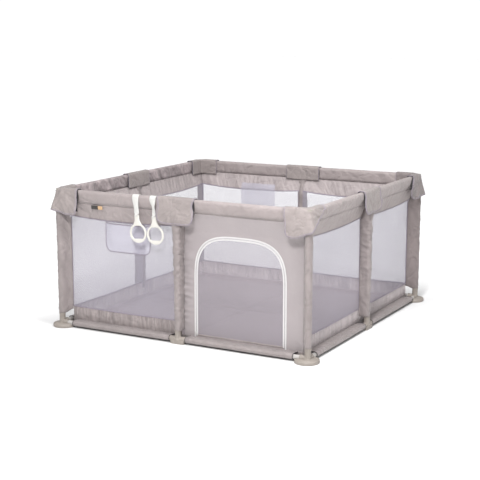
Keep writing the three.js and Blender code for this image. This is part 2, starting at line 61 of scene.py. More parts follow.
SPAN = 683.0  # out to the posts and rails
WALL = 642.0  # out to the upright part of the walls
FOLD_Z = 545.0  # above this a wall leans out to the rail
SEAM_OUT, SEAM_Z = 676.0, 632.0
RAIL_Z, BASE_Z = 686.0, 22.0
SLEEVE_R = 13.4
MESH_LOW, CREASE_Z = 98.0, 33.0
DOOR_X, ZIP_HALF = 312.0, 234.0
SPRING_Z, CROWN_Z, SILL_Z = 300.0, 524.0, 38.5
ARCH_POWER = 3.2


# ---------------------------------------------------------------- helpers


def place(points, turns=0):
    """From a side's own frame in mm to the pen's frame in metres, a quarter turn for each side."""
    p = np.asarray(points, float)
    x, y, z = p[..., 0], -p[..., 1], p[..., 2]
    for _ in range(turns % 4):
        x, y = -y, x
    return np.stack([x, y, z], -1) * MM


def points_at(along, out, up):
    """A row of points from any mix of single numbers and arrays."""
    return np.stack(np.broadcast_arrays(along, out, up), -1).astype(float)


def sheared(points, axis, amount):
    """A copy with one coordinate shifted, so that noise read from it runs aslant."""
    moved = points.copy()
    moved[:, axis] += amount
    return moved


def smoothstep(value, low, high):
    t = np.clip((np.asarray(value, float) - low) / (high - low), 0, 1)
    return t * t * (3 - 2 * t)


def squarish(value, power):
    """A sine or cosine bent so that a circle becomes a rounded square."""
    return math.copysign(abs(value) ** power, value)


def noise_at(*where):
    return noise.noise(Vector(where))


def wobble(points, scale, seed=0.0):
    """Smooth noise from -1 to 1 at each point; scale is one length or one for each axis, in mm."""
    p = np.asarray(points, float)
    q = p / np.asarray(scale, float)
    flat = [noise_at(a + seed, b - 1.7 * seed, c + 3.1 * seed) for a, b, c in q.reshape(-1, 3)]
    return np.array(flat).reshape(p.shape[:-1])


def creases(points, scale, seed=0.0):
    """Narrow ridges from 0 to 1 where the noise crosses zero."""
    return (1 - np.clip(np.abs(wobble(points, scale, seed)) * 3.2, 0, 1)) ** 2


def crease_at(*where):
    """One sharper ridge, from 0 to 1."""
    return (1 - min(1.0, abs(noise_at(*where)) * 4)) ** 2


def grid_faces(rows, cols, wrap_rows=False, wrap_cols=False):
    faces = []
    for i in range(rows if wrap_rows else rows - 1):
        for j in range(cols if wrap_cols else cols - 1):
            i2, j2 = (i + 1) % rows, (j + 1) % cols
            faces.append((i * cols + j, i * cols + j2, i2 * cols + j2, i2 * cols + j))
    return faces


def closed_faces(rows, cols):
    """Faces of a stack of loops with both ends shut."""
    ends = [tuple(reversed(range(cols))), tuple((rows - 1) * cols + i for i in range(cols))]
    return grid_faces(rows, cols, wrap_cols=True) + ends


def smooth(mesh):
    mesh.polygons.foreach_set("use_smooth", [True] * len(mesh.polygons))


def build(name, points, faces, material, body="pen"):
    mesh = bpy.data.meshes.new(name)
    mesh.from_pydata([tuple(p) for p in np.asarray(points).reshape(-1, 3)], [], faces)
    mesh.update()
    smooth(mesh)
    mesh.materials.append(material)
    piece = bpy.data.objects.new(name, mesh)
    bpy.context.scene.collection.objects.link(piece)
    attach(piece, body)
    return piece


def cloth(name, grid, material, turns=0, thick=1.0, body="pen", wrap_cols=False):
    """A sheet through a grid of points; a net has no thickness."""
    faces = grid_faces(*grid.shape[:2], wrap_cols=wrap_cols)
    piece = build(name, place(grid, turns), faces, material, body)
    if thick:
        solidify = piece.modifiers.new("cloth", "SOLIDIFY")
        solidify.thickness, solidify.offset = thick * MM, 0.0
    return piece


def joined(name, parts, material, turns=0, body="pen"):
    """Several (points, faces) in one piece."""
    points, faces, start = [], [], 0
    for part_points, part_faces in parts:
        part_points = np.asarray(part_points, float).reshape(-1, 3)
        points.append(part_points)
        faces += [tuple(start + i for i in face) for face in part_faces]
        start += len(part_points)
    piece = build(name, place(np.concatenate(points), turns), faces, material, body)
    return piece


def sewn(name, grid, material, slot, stands_for=None, **how):
    """A cloth in its material, with the CAD node that it stands for hidden; slot is not used."""
    piece = cloth(name, np.array(grid), material, **how)
    if stands_for:
        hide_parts(stands_for)
    return piece


def tube(path, radius, sides=8, up=(0, 1, 0), flat=1.0):
    """A round cord sewn along a path, with closed ends."""
    path = np.asarray(path, float)
    along = np.gradient(path, axis=0)
    along /= np.linalg.norm(along, axis=1)[:, None]
    across = np.cross(along, np.asarray(up, float))
    across /= np.maximum(np.linalg.norm(across, axis=1)[:, None], 1e-9)
    other = np.cross(along, across)
    angles = (np.arange(sides) * 2 * math.pi / sides)[None, :, None]
    ring = np.cos(angles) * across[:, None] * flat + np.sin(angles) * other[:, None]
    return (path[:, None] + radius * ring).reshape(-1, 3), closed_faces(len(path), sides)


def resampled(path, step):
    path = np.asarray(path, float)
    lengths = np.concatenate([[0], np.cumsum(np.linalg.norm(np.diff(path, axis=0), axis=1))])
    at = np.linspace(0, lengths[-1], max(2, int(round(lengths[-1] / step)) + 1))
    return np.stack([np.interp(at, lengths, path[:, i]) for i in range(3)], 1)


def stitches(path, pitch=5.0, radius=0.45, up=(0, 1, 0)):
    """A row of short sewn dashes along a path."""
    fine = resampled(path, pitch)
    parts = []
    for start, end in zip(fine[:-1], fine[1:]):
        stop = start + (end - start) * 0.6
        parts.append(tube([start, (start + stop) / 2, stop], radius, 5, up))
    return parts


def lathe(profile, centre, sides=48, axis="z"):
    """A turned solid: profile is (radius, height) from axis to axis."""
    angles = np.arange(sides) * 2 * math.pi / sides
    points, rings = [], []
    for radius, height in profile:
        if radius < 1e-6:
            rings.append([len(points)])
            points.append((0, 0, height))
        else:
            rings.append(list(range(len(points), len(points) + sides)))
            points += [(radius * math.cos(a), radius * math.sin(a), height) for a in angles]
    faces = []
    for low, high in zip(rings[:-1], rings[1:]):
        for j in range(sides):
            k = (j + 1) % sides
            if len(low) == 1:
                faces.append((low[0], high[k], high[j]))
            elif len(high) == 1:
                faces.append((low[j], low[k], high[0]))
            else:
                faces.append((low[j], low[k], high[k], high[j]))
    order = {"z": [0, 1, 2], "along": [2, 0, 1], "out": [1, 2, 0]}[axis]
    return np.array(points)[:, order] + np.asarray(centre, float), faces


# ---------------------------------------------------------------- materials


def srgb(red, green, blue):
    def linear(value):
        value /= 255
        return value / 12.92 if value <= 0.04045 else ((value + 0.055) / 1.055) ** 2.4

    return (linear(red), linear(green), linear(blue), 1.0)


def grey(value):
    return (value, value, value, 1)


def node(tree, kind, **inputs):
    made = tree.nodes.new(kind)
    for name, value in inputs.items():
        made.inputs[name.replace("_", " ")].default_value = value
    return made


def math_node(tree, operation, first, second=None):
    made = tree.nodes.new("ShaderNodeMath")
    made.operation = operation
    for socket, value in zip(made.inputs, (first, second)):
        if value is None:
            continue
        if isinstance(value, (int, float)):
            socket.default_value = value
        else:
            tree.links.new(value, socket)
    return made.outputs[0]


def axes(tree, where):
    parts = tree.nodes.new("ShaderNodeSeparateXYZ")
    tree.links.new(where, parts.inputs["Vector"])
    return [parts.outputs[letter] for letter in "XYZ"]


def ranged(tree, value, low, high, to_low=0.0, to_high=1.0, curve="LINEAR"):
    made = node(tree, "ShaderNodeMapRange", From_Min=low, From_Max=high, To_Min=to_low, To_Max=to_high)
    made.interpolation_type = curve
    tree.links.new(value, made.inputs["Value"])
    return made.outputs["Result"]


def multiplied(tree, first, second, factor=1.0):
    mix = tree.nodes.new("ShaderNodeMix")
    mix.data_type, mix.blend_type = "RGBA", "MULTIPLY"
    mix.inputs["Factor"].default_value = factor
    tree.links.new(first, mix.inputs["A"])
    tree.links.new(second, mix.inputs["B"])
    return mix.outputs["Result"]


def start_material(name, roughness, sheen=0.0, metallic=0.0, specular=0.5):
    made = bpy.data.materials.new(name)
    made.use_nodes = True
    tree = made.node_tree
    shader = tree.nodes["Principled BSDF"]
    shader.inputs["Roughness"].default_value = roughness
    shader.inputs["Metallic"].default_value = metallic
    shader.inputs["Sheen Weight"].default_value = sheen
    shader.inputs["Sheen Roughness"].default_value = 0.5
    shader.inputs["Specular IOR Level"].default_value = specular
    return made, tree, shader, tree.nodes.new("ShaderNodeTexCoord").outputs["Object"]


def noise_of(tree, where, scale, detail=3.0, distortion=0.0):
    made = node(tree, "ShaderNodeTexNoise", Scale=scale, Detail=detail, Distortion=distortion)
    tree.links.new(where, made.inputs["Vector"])
    return made.outputs["Fac"]


def shades(tree, fac, dark, light, low=0.3, high=0.7):
    """A colour that goes from dark to light with fac."""
    ramp = tree.nodes.new("ShaderNodeValToRGB")
    for element, position, colour in zip(ramp.color_ramp.elements, (low, high), (dark, light)):
        element.position, element.color = position, colour
    tree.links.new(fac, ramp.inputs["Fac"])
    return ramp.outputs["Color"]


def scaled(colour, amount):
    return tuple(min(1.0, c * amount) for c in colour[:3]) + (1.0,)


def waves(tree, where, pitch_mm):
    """Threads along the three axes, as a height from 0 to 3."""
    total = None
    for direction in "XYZ":
        made = node(tree, "ShaderNodeTexWave", Scale=0.314 / (pitch_mm * MM))
        made.wave_type, made.bands_direction, made.wave_profile = "BANDS", direction, "SIN"
        tree.links.new(where, made.inputs["Vector"])
        height = made.outputs["Fac"]
        total = height if total is None else math_node(tree, "ADD", total, height)
    return total


def bump(tree, shader, height, distance, strength=1.0, before=None):
    made = node(tree, "ShaderNodeBump", Strength=strength, Distance=distance)
    tree.links.new(height, made.inputs["Height"])
    if before is not None:
        tree.links.new(before, made.inputs["Normal"])
    if shader is not None:
        tree.links.new(made.outputs["Normal"], shader.inputs["Normal"])
    return made.outputs["Normal"]


def slanted_folds(tree, where, width, slant):
    """Soft satin folds that run down and across, from 0 to 1."""
    x, y, z = axes(tree, where)
    level = math_node(tree, "ADD", x, y)
    across = math_node(tree, "ADD", level, math_node(tree, "MULTIPLY", z, slant))
    folded = tree.nodes.new("ShaderNodeCombineXYZ")
    tree.links.new(math_node(tree, "MULTIPLY", across, 26.0 / width), folded.inputs["X"])
    tree.links.new(math_node(tree, "MULTIPLY", z, 6.0), folded.inputs["Y"])
    between = math_node(tree, "SUBTRACT", x, y)
    tree.links.new(math_node(tree, "MULTIPLY", between, 3.0), folded.inputs["Z"])
    return noise_of(tree, folded.outputs["Vector"], 1.0, 1.0, 0.25)


def woven(name, colour, roughness=0.56, pitch=1.3, variation=0.07, crumple=0.0012, weave=0.00022,
          folds=0.0, fold_width=1.0, slant=0.55):
    """Woven cloth; folds is how strongly its satin folds show: as painted shade in their hollows and painted
    highlight on their crests, and in relief.
    """
    made, tree, shader, where = start_material(name, roughness, 0.15, specular=0.45)
    mottled = noise_of(tree, where, 7.0, 4.0)
    broad = shades(tree, mottled, scaled(colour, 1 - variation), scaled(colour, 1 + variation))
    threads = waves(tree, where, pitch)
    tone = multiplied(tree, broad, shades(tree, threads, grey(0.93), grey(1.0), 0.1, 0.9), 0.8)
    off_middle = math_node(tree, "SUBTRACT", noise_of(tree, where, 10.0, 2.0, 0.9), 0.5)
    ridges = math_node(tree, "ABSOLUTE", off_middle)
    folded = bump(tree, None, ridges, crumple * 6, 0.9)
    if folds:
        satin = slanted_folds(tree, where, fold_width, slant)
        # painted shade in the satin folds' hollows and painted highlight on their crests
        light = shades(tree, satin, grey(1 - 0.18 * folds), grey(1 + 0.12 * folds))
        # painted shade along the creases of the crumple
        painted_crease_shade = shades(tree, ridges, grey(1 - 0.14 * folds), grey(1.0), 0.0, 0.04)
        tone = multiplied(tree, multiplied(tree, tone, light), painted_crease_shade)
        folded = bump(tree, None, satin, 0.010 * folds, 0.8, folded)
    tree.links.new(tone, shader.inputs["Base Color"])
    soft = bump(tree, None, noise_of(tree, where, 38.0, 3.0, 0.6), crumple, 0.8, folded)
    bump(tree, shader, threads, weave, 0.6, soft)
    return made


def honeycomb(name, colour, cell):
    """Spacer mat cloth: rows of small dimples, set off from row to row, with painted shade in the dimples and
    the rims between them painted lighter.
    """
    made, tree, shader, where = start_material(name, 0.72, 0.2, specular=0.3)
    x, y, _ = axes(tree, where)
    k = 2 * math.pi / (cell * MM)
    total = None
    for across, up in ((1.0, 0.0), (0.5, 0.866), (-0.5, 0.866)):
        first = math_node(tree, "MULTIPLY", x, across * k)
        along = math_node(tree, "ADD", first, math_node(tree, "MULTIPLY", y, up * k))
        wave = math_node(tree, "COSINE", along)
        total = wave if total is None else math_node(tree, "ADD", total, wave)
    dimple = ranged(tree, total, -1.5, 3.0)
    # painted shade in the dimples, lighter on the rims between them
    tone = shades(tree, dimple, scaled(colour, 1.12), scaled(colour, 0.7), 0.1, 0.75)
    tree.links.new(tone, shader.inputs["Base Color"])
    soft = bump(tree, None, noise_of(tree, where, 20.0, 3.0), 0.0015, 0.5)
    bump(tree, shader, math_node(tree, "SUBTRACT", 1.0, dimple), 0.0009, 0.6, soft)
    return made


def net(name, colour, pitch=2.6, cover=0.4, haze=0.04):
    """Knitted mesh: two families of slanting threads with open holes between them."""
    made, tree, shader, where = start_material(name, 0.95, specular=0.0)
    x, y, z = axes(tree, where)
    along = math_node(tree, "ADD", x, y)
    families = []
    for operation in ("ADD", "SUBTRACT"):
        slant = math_node(tree, operation, along, z)
        turned = math_node(tree, "MULTIPLY", slant, math.pi / (pitch * MM))
        families.append(math_node(tree, "ABSOLUTE", math_node(tree, "COSINE", turned)))
    thread = math_node(tree, "MAXIMUM", *families)
    share = 1 - math.sqrt(1 - cover)
    edge = math.cos(share * math.pi / 2)
    solid = ranged(tree, thread, edge - 0.2, edge + 0.2, haze, 0.96)
    tone = shades(tree, noise_of(tree, where, 5.0, 3.0), scaled(colour, 0.96), scaled(colour, 1.03))
    tree.links.new(tone, shader.inputs["Base Color"])
    clear = tree.nodes.new("ShaderNodeBsdfTransparent")
    mix = tree.nodes.new("ShaderNodeMixShader")
    tree.links.new(solid, mix.inputs["Fac"])
    tree.links.new(clear.outputs["BSDF"], mix.inputs[1])
    tree.links.new(shader.outputs["BSDF"], mix.inputs[2])
    tree.links.new(mix.outputs["Shader"], tree.nodes["Material Output"].inputs["Surface"])
    bump(tree, shader, thread, 0.0002, 0.5)
    return made


def moulded(name, colour, roughness=0.48, grain=900.0, variation=0.05, metallic=0.0):
    """Moulded plastic or paint: a fine grain, slight scuffs and uneven gloss."""
    made, tree, shader, where = start_material(name, roughness, metallic=metallic)
    scuffs = noise_of(tree, where, 22.0, 5.0)
    tone = shades(tree, scuffs, scaled(colour, 1 - variation), scaled(colour, 1 + variation))
    tree.links.new(tone, shader.inputs["Base Color"])
    patches = noise_of(tree, where, 60.0, 6.0)
    gloss = ranged(tree, patches, 0.0, 1.0, roughness - 0.08, roughness + 0.12)
    tree.links.new(gloss, shader.inputs["Roughness"])
    bump(tree, shader, noise_of(tree, where, grain, 2.0), 0.00008, 0.6)
    return made


fabric = woven("taupe_cloth", srgb(154, 144, 143), crumple=0.0036, folds=0.22, fold_width=1.5)
# a lighter copy of the wall cloth with strong painted fold shade and highlight, for the left wall's rail
# sleeve
left_rail_painted_folds = woven("left_rail_painted_folds", srgb(160, 148, 149), crumple=0.0046, folds=2.0, fold_width=1.4,
                    slant=0.9)
# a lighter copy of the wall cloth for the back and left walls' upper bands: painted light
far_walls_upper_painted_light = woven("far_walls_upper_painted_light_cloth", srgb(166, 156, 156), crumple=0.0036, folds=0.8, fold_width=0.6,
                  slant=0.15)
# the lower bands' cloth; its upright streaks are painted pleat shade
band_cloth = woven("band_cloth", srgb(156, 146, 145), crumple=0.0030, folds=1.1, fold_width=0.46,
                   slant=0.06)
# a lighter copy for the right wall's lower band: painted light
right_band_painted_light = woven("right_band_painted_light_cloth", srgb(178, 169, 170), crumple=0.0030, folds=0.6, fold_width=0.5,
                  slant=0.06)
# a lighter copy still for the back and left walls' lower bands: painted light
far_walls_band_painted_light = woven("far_walls_band_painted_light_cloth", srgb(190, 181, 182), crumple=0.0030, folds=1.1, fold_width=0.46,
                 slant=0.06)
cover_cloth = woven("cover_cloth", srgb(144, 135, 133), crumple=0.0050, folds=0.3, fold_width=1.7)
# a darker copy of the cover cloth for the back right corner: painted shade
painted_shade_cover = woven("painted_shade_cover_cloth", srgb(126, 117, 116), crumple=0.0050, folds=0.4,
                     fold_width=1.7)
panel_cloth = woven("panel_cloth", srgb(157, 149, 150), crumple=0.0010, variation=0.04)
sleeve_cloth = woven("post_sleeve_cloth", srgb(140, 131, 130), crumple=0.0034, folds=0.5,
                     fold_width=1.6)
# a darker copy of the post sleeve cloth for the back right corner: painted shade
painted_shade_sleeve = woven("painted_shade_sleeve_cloth", srgb(123, 113, 112), crumple=0.0044, folds=0.7,
                      fold_width=1.6)
lilac_trim = woven("lilac_piping", srgb(140, 131, 143), pitch=0.8)
mat_cloth = honeycomb("mat_cloth", srgb(141, 130, 132), cell=14.0)
wall_net = net("wall_net", srgb(165, 161, 172), cover=0.6)
far_net = net("far_net", srgb(170, 166, 178), cover=0.52, pitch=2.2)
door_net = net("door_net", srgb(152, 147, 155), cover=0.58, pitch=2.4)
pocket_net = net("pocket_net", srgb(192, 189, 202), cover=0.62, pitch=2.2)
ledge_cloth = woven("ledge_cloth", srgb(143, 134, 133), roughness=0.4, crumple=0.0036, folds=0.35,
                    fold_width=0.8)
pocket_edge = woven("pocket_edge", srgb(190, 184, 200), pitch=0.8)
foot_plastic = moulded("foot_plastic", srgb(147, 139, 132))
dark_plastic = moulded("connector_plastic", srgb(150, 145, 138))
ring_plastic = moulded("ring_plastic", srgb(200, 197, 191), roughness=0.38, variation=0.02, grain=500.0)
tube_paint = moulded("tube_paint", srgb(138, 129, 126), roughness=0.4, metallic=0.2, grain=1400.0)
base_paint = moulded("base_tube_paint", srgb(188, 184, 181), roughness=0.35, metallic=0.2, grain=1400.0)
webbing = woven("white_webbing", srgb(200, 199, 196), roughness=0.7, pitch=1.6, variation=0.02,
                weave=0.0005)
zip_tape = woven("zip_tape", srgb(210, 208, 208), roughness=0.75, pitch=0.9, variation=0.02)
zip_teeth = moulded("zip_coil", srgb(172, 168, 170), roughness=0.35, variation=0.03)
slider_metal = moulded("slider_metal", srgb(196, 194, 192), roughness=0.32, metallic=0.4)
closure = woven("closure_tape", srgb(38, 34, 36), roughness=0.95, pitch=1.0, variation=0.25,
                weave=0.0008)
thread_cloth = woven("sewing_thread", srgb(140, 128, 132), pitch=0.6, crumple=0.0002)
tag_dark = woven("tag_dark", srgb(52, 48, 46), pitch=0.7, variation=0.15)
tag_tan = woven("tag_tan", srgb(196, 162, 124), pitch=0.7, variation=0.1)

for name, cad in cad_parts.items():
    finish = dark_plastic if "connector" in name else base_paint if "base_rail" in name else tube_paint
    cad.data.materials.clear()
    cad.data.materials.append(finish)
    smooth(cad.data)
    split = cad.modifiers.new("edges", "EDGE_SPLIT")
    split.split_angle = math.radians(40)


# ---------------------------------------------------------------- sewn walls

PIPING_R = 2.7
POST_HALF = 20.0  # half the middle post, where the mesh's scallops begin
INNER_EDGE = 15.0  # a half wall's edge beside the middle post
MESH_TOP, MESH_RISE = 550.0, 14.0  # its upper edge at the lowest, and how far the ends rise
SLEEVE_START, RAIL_SLEEVE_END, BASE_SLEEVE_END = 44.0, 628.0, 612.0
STRAP_PULLS = ((215, 34), (117, 30))  # where the straps draw the rail sleeve in, and how widely
COLUMNS, FINE_COLUMNS = 170, 260
SEAM_PITCH = 6.0


def wall_out(z):
    """How far out the wall stands at a height: upright, then folding out to the rail seam."""
    z = np.asarray(z, float)
    share = np.clip((z - FOLD_Z) / (SEAM_Z - FOLD_Z), 0, 1)
    return WALL + (SEAM_OUT - WALL) * (share * 0.75 + 0.25 * share * share)


def gather(s, seed, pitch=34.0):
    """Uneven upright pleats along a seam, from about -1 to 1."""
    points = points_at(s, seed * 50.0, 0.0)
    phase = 2 * math.pi * s / pitch + 5.0 * wobble(points, 95.0, seed)
    strength = 0.6 + 0.9 * wobble(points, 120.0, seed + 9)
    return (np.sin(phase) + 0.3 * np.sin(2.3 * phase + 1)) * np.clip(strength, 0.12, 1.3)


def scallop(s):
    """Height of the mesh's upper edge along a half panel: it dips in the middle."""
    reach = np.clip((np.abs(s) - POST_HALF) / (WALL - POST_HALF), 0, 1)
    return MESH_TOP + MESH_RISE * np.abs(2 * reach - 1) ** 2.4


def mesh_top(share):
    return scallop(POST_HALF + share * (WALL - POST_HALF))


def rail_sleeve(hand, share, seed, under_straps):
    """A slack tube over the top rail, flattened to a seam under it."""
    s = SLEEVE_START + share * (RAIL_SLEEVE_END - SLEEVE_START)
    section = [(SEAM_OUT + 0.6, SEAM_Z), (SEAM_OUT + 8.5, SEAM_Z + 16), (SPAN + 12.6, RAIL_Z - 18)]
    for angle in np.radians(np.linspace(-18, 196, 20)):
        section.append((SPAN + SLEEVE_R * math.cos(angle), RAIL_Z + SLEEVE_R * math.sin(angle)))
    section += [(SPAN - 11.5, RAIL_Z - 24), (SEAM_OUT - 3.2, SEAM_Z + 16), (SEAM_OUT - 0.6, SEAM_Z)]
    between_covers = 0.35 + 0.65 * smoothstep(s, 96, 122) * smoothstep(-s, -572, -546)
    hug = 0.0
    if under_straps:
        # the straps pull the sleeve close round the rail
        hug = sum(np.exp(-(((s - middle) / width) ** 4)) for middle, width in STRAP_PULLS)
    rows = []
    for out, up in section:
        slack = (0.2 + 0.8 * smoothstep(RAIL_Z - up, -6, 22)) * between_covers * (1 - 0.94 * hug)
        here = points_at(hand * s, out, up)
        slanted = sheared(here, 0, hand * 1.1 * here[:, 2])
        ruck = 3.4 * wobble(slanted, (54, 30, 90), seed)
        ruck += 4.6 * creases(slanted, (74, 60, 150), seed + 3)
        low = smoothstep(up, SEAM_Z, SEAM_Z + 10)
        outward = 1 if out > SPAN - 1 or up < RAIL_Z and out > SEAM_OUT else -1
        here[:, 1] += outward * low * (slack * ruck + 0.4)
        if out < SPAN - 1 and up < RAIL_Z + 8:
            here[:, 1] += hug * low * (1.9 if up > RAIL_Z - 20 else 3.4)
        on_top = smoothstep(up, RAIL_Z, RAIL_Z + 10)
        here[:, 2] += 0.5 * wobble(here, (90, 30, 30), seed + 5) * on_top
        rows.append(here)
    return rows


def upper_band(hand, share, seed):
    """From the rail's seam down to the mesh, a little gathered."""
    bottom = mesh_top(share)
    rows = []
    for level in np.linspace(0, 1, 12):
        z = SEAM_Z - level * (SEAM_Z - bottom)
        out = wall_out(z)
        end = out - 1.5
        s = INNER_EDGE - 3 + share * (end - INNER_EDGE + 3)
        here = points_at(hand * s, out, z)
        ease = math.sin(math.pi * min(1, level * 1.02))
        slanted = sheared(here, 0, hand * 0.8 * here[:, 2])
        ruck = 3.6 * wobble(slanted, (70, 60, 120), seed + 2)
        ruck += 3.4 * creases(slanted, (90, 60, 160), seed)
        pleat = gather(s, seed) * (0.4 + ease) + ease * ruck
        here[:, 1] += pleat * smoothstep(np.minimum(s - INNER_EDGE, end - s), 0, 30)
        rows.append(here)
    return rows


def wall_mesh(hand, share, seed):
    """The net, a little slack in its middle, tucked under both bands."""
    bottom, top = MESH_LOW - 2, mesh_top(share) + 3
    rows = []
    for level in np.linspace(0, 1, 40):
        z = bottom + level * (top - bottom)
        s = INNER_EDGE - 1 + share * (wall_out(z) + 1.5 - INNER_EDGE)
        here = points_at(hand * s, wall_out(z), z)
        slack = smoothstep(np.minimum(s - INNER_EDGE, WALL - s), 0, 90) * math.sin(math.pi * level)
        here[:, 1] += slack * (1.6 * wobble(here, (260, 60, 220), seed + 4) - 1.2)
        rows.append(here)
    return rows


def lower_band(hand, seed):
    """Gathered onto the mesh's piped edge, then tucked down behind the base sleeve."""
    share = np.linspace(0, 1, FINE_COLUMNS)
    s = 2 + share * (WALL - 1.5 - 2)
    rows = []
    for level in np.linspace(0, 1, 18):
        sag = 3.0 * np.sin(math.pi * share)
        z = MESH_LOW + 2 - sag * (1 - level) - level * (MESH_LOW + 2 - CREASE_Z)
        here = points_at(hand * s, WALL, z)
        ease = math.sin(math.pi * (0.1 + 0.84 * level))
        pleat = (3.6 * gather(s, seed + 5, 21.0) + 1.6 * gather(s, seed + 7, 47.0)) * ease
        pleat += 1.6 * ease * wobble(here, (60, 60, 70), seed)
        here[:, 1] += (pleat + 4.0 * ease) * smoothstep(WALL - s, 0, 24)
        rows.append(here)
    rows += [points_at(hand * s, WALL - behind, up) for behind, up in ((0.6, 26.0), (1.4, 14.0), (2.2, 1.4))]
    return rows


def base_sleeve(hand, share, seed):
    """From the wall's crease out over the base rail and round it."""
    s = SLEEVE_START + share * (BASE_SLEEVE_END - SLEEVE_START)
    path = [(WALL + 0.4, CREASE_Z + 2), (WALL + 2.5, CREASE_Z - 1.2), (WALL + 11, CREASE_Z + 0.4)]
    path += [(WALL + 23, CREASE_Z + 1.6), (SPAN - 8, BASE_Z + SLEEVE_R - 0.4)]
    for angle in np.radians(np.linspace(96, -196, 24)):
        path.append((SPAN + SLEEVE_R * math.cos(angle), BASE_Z + SLEEVE_R * math.sin(angle)))
    rows = []
    for index, (out, up) in enumerate(path):
        here = points_at(hand * s, out, up)
        flatness = math.exp(-(((out - 664) / 14) ** 2)) if index < 8 else 0.0
        ruck = 2.2 * wobble(here, (50, 30, 30), seed + 1) + 1.5 * gather(s, seed + 8, 40.0)
        here[:, 2] += flatness * ruck
        if index >= 5 and out > SPAN:
            outer_side = smoothstep(up, 34, 24)
            here[:, 1] += outer_side * (1.1 * wobble(here, (110, 40, 30), seed + 6) + 0.5)
        rows.append(here)
    return rows


def half_wall(side, half, turns, trims):
    """One half of a side, from its middle post to a corner; trims collects cords and stitches."""
    hand = -1 if half == "a" else 1
    seed = turns * 2.0 + (0.5 if hand > 0 else 0.0) + 1.3
    share = np.linspace(0, 1, COLUMNS)
    near = turns < 2

    def part(name, rows, material, thick=1.0):
        label = f"{name}_{side}_{half}"
        return sewn(label, rows, material, "wall_fabric", f"wall_{side}", turns=turns, thick=thick)

    rows = rail_sleeve(hand, share, seed, side == "front" and half == "a")
    # the left wall's rail sleeve takes the copy with strong painted folds
    piece = part("rail_sleeve", rows, left_rail_painted_folds if side == "left" else fabric, 1.1)

    if side != "front" or half != "b":
        rows = upper_band(hand, share, seed)
        # the back and left walls' upper bands take the lighter copy with painted light
        piece = part("upper_band", rows, fabric if near else far_walls_upper_painted_light)
        trims["piping"].append(tube(rows[-1] + [0, 0.4, 0], PIPING_R))
        piece = part("net", wall_mesh(hand, share, seed), wall_net if near else far_net, 0)
        rows = lower_band(hand, seed)
        # the front's lower band has painted pleat shade; the other sides take lighter copies with painted
        # light
        piece = part("lower_band", rows, (band_cloth, right_band_painted_light, far_walls_band_painted_light, far_walls_band_painted_light)[turns])
        trims["piping"].append(tube(rows[0], PIPING_R))
        trims["seams"] += stitches(rows[2] + [0, 0.7, 0], SEAM_PITCH)
        for s in (INNER_EDGE + 0.5, WALL - 2.5):
            edge = points_at(hand * s, WALL + 0.6, np.linspace(MESH_LOW, float(scallop(s)), 30))
            edge[:, 0] += 0.8 * wobble(edge, (30, 30, 50), seed)
            trims["piping"].append(tube(edge, 1.7))

    rows = base_sleeve(hand, share, seed)
    piece = part("base_sleeve", rows, ledge_cloth)
    trims["seams"] += stitches(rows[2] + [0, 0, 0.7], SEAM_PITCH, up=(0, 0, 1))
    base = np.array(rows)
    # a dark cord along each end of the base sleeve
    trims["bindings"] += [tube(base[:26, column], 1.5, up=(1, 0, 0)) for column in (0, -1)]
    rail_seam = points_at(hand * np.linspace(62, 560, 90), SEAM_OUT + 1.4, SEAM_Z + 3.5)
    trims["seams"] += stitches(rail_seam, SEAM_PITCH)


for turns, side in enumerate(SIDES):
    trims = {"piping": [], "seams": [], "bindings": []}
    for half in ("a", "b"):
        half_wall(side, half, turns, trims)
    joined(f"piping_{side}", trims["piping"], lilac_trim, turns)
    joined(f"seam_thread_{side}", trims["seams"], thread_cloth, turns)
    joined(f"base_dark_end_cord_{side}", trims["bindings"], closure, turns)


# ---------------------------------------------------------------- door

INSIDE_NET = 6.0  # the flap's net ends this far inside the zip's line
PANEL_GAP = 5.0  # the panel's edge stands this far outside it
ZIP_LOW, SILL_GAP = 28.0, 0.5
TAPE_OUT = 643.0
# one coil loop in three levels: how far out, and half its length and width
COIL_SECTION = ((642.4, 0.8, 1.5), (643.5, 0.95, 1.7), (644.1, 0.5, 1.1))


def arch_path(low=SILL_Z):
    """The zip's middle line, from the bottom of its left leg round to the bottom of the right."""
    left = [(DOOR_X - ZIP_HALF, z) for z in np.linspace(low, SPRING_Z, 10, endpoint=False)]
    middle = []
    for angle in np.linspace(math.pi, 0, 54):
        across = squarish(math.cos(angle), 2 / ARCH_POWER)
        up = max(math.sin(angle), 0) ** (2 / ARCH_POWER)
        middle.append((DOOR_X + ZIP_HALF * across, SPRING_Z + (CROWN_Z - SPRING_Z) * up))
    right = [(DOOR_X + ZIP_HALF, z) for z in np.linspace(SPRING_Z, low, 11)[1:]]
    return np.array(left + middle + right)


def even(path, step):
    full = np.column_stack([path[:, 0], np.zeros(len(path)), path[:, 1]])
    return resampled(full, step)[:, [0, 2]]


def arch_offset(path, amount):
    """The path moved outwards by an amount, in the wall's plane."""
    along = np.gradient(path, axis=0)
    along /= np.linalg.norm(along, axis=1)[:, None]
    normal = np.stack([-along[:, 1], along[:, 0]], 1)
    return path + normal * amount


def panel_edge(line):
    """For each point of the zip's line, the point of the panel's outer edge that it looks at."""
    outer = []
    left, right, top = DOOR_X - INNER_EDGE + 3, WALL - DOOR_X, SEAM_Z - SPRING_Z
    for x, z in line:
        dx, dz = x - DOOR_X, z - SPRING_Z
        if dz <= 0:
            outer.append((DOOR_X - left if dx < 0 else DOOR_X + right, z))
            continue
        angle = math.atan2(dz / (CROWN_Z - SPRING_Z), abs(dx) / ZIP_HALF)
        c, s = math.cos(angle), math.sin(angle)
        big = max(c, s)
        x_edge = DOOR_X - left * c / big if dx < 0 else DOOR_X + right * c / big
        outer.append((x_edge, SPRING_Z + top * s / big))
    return np.array(outer)


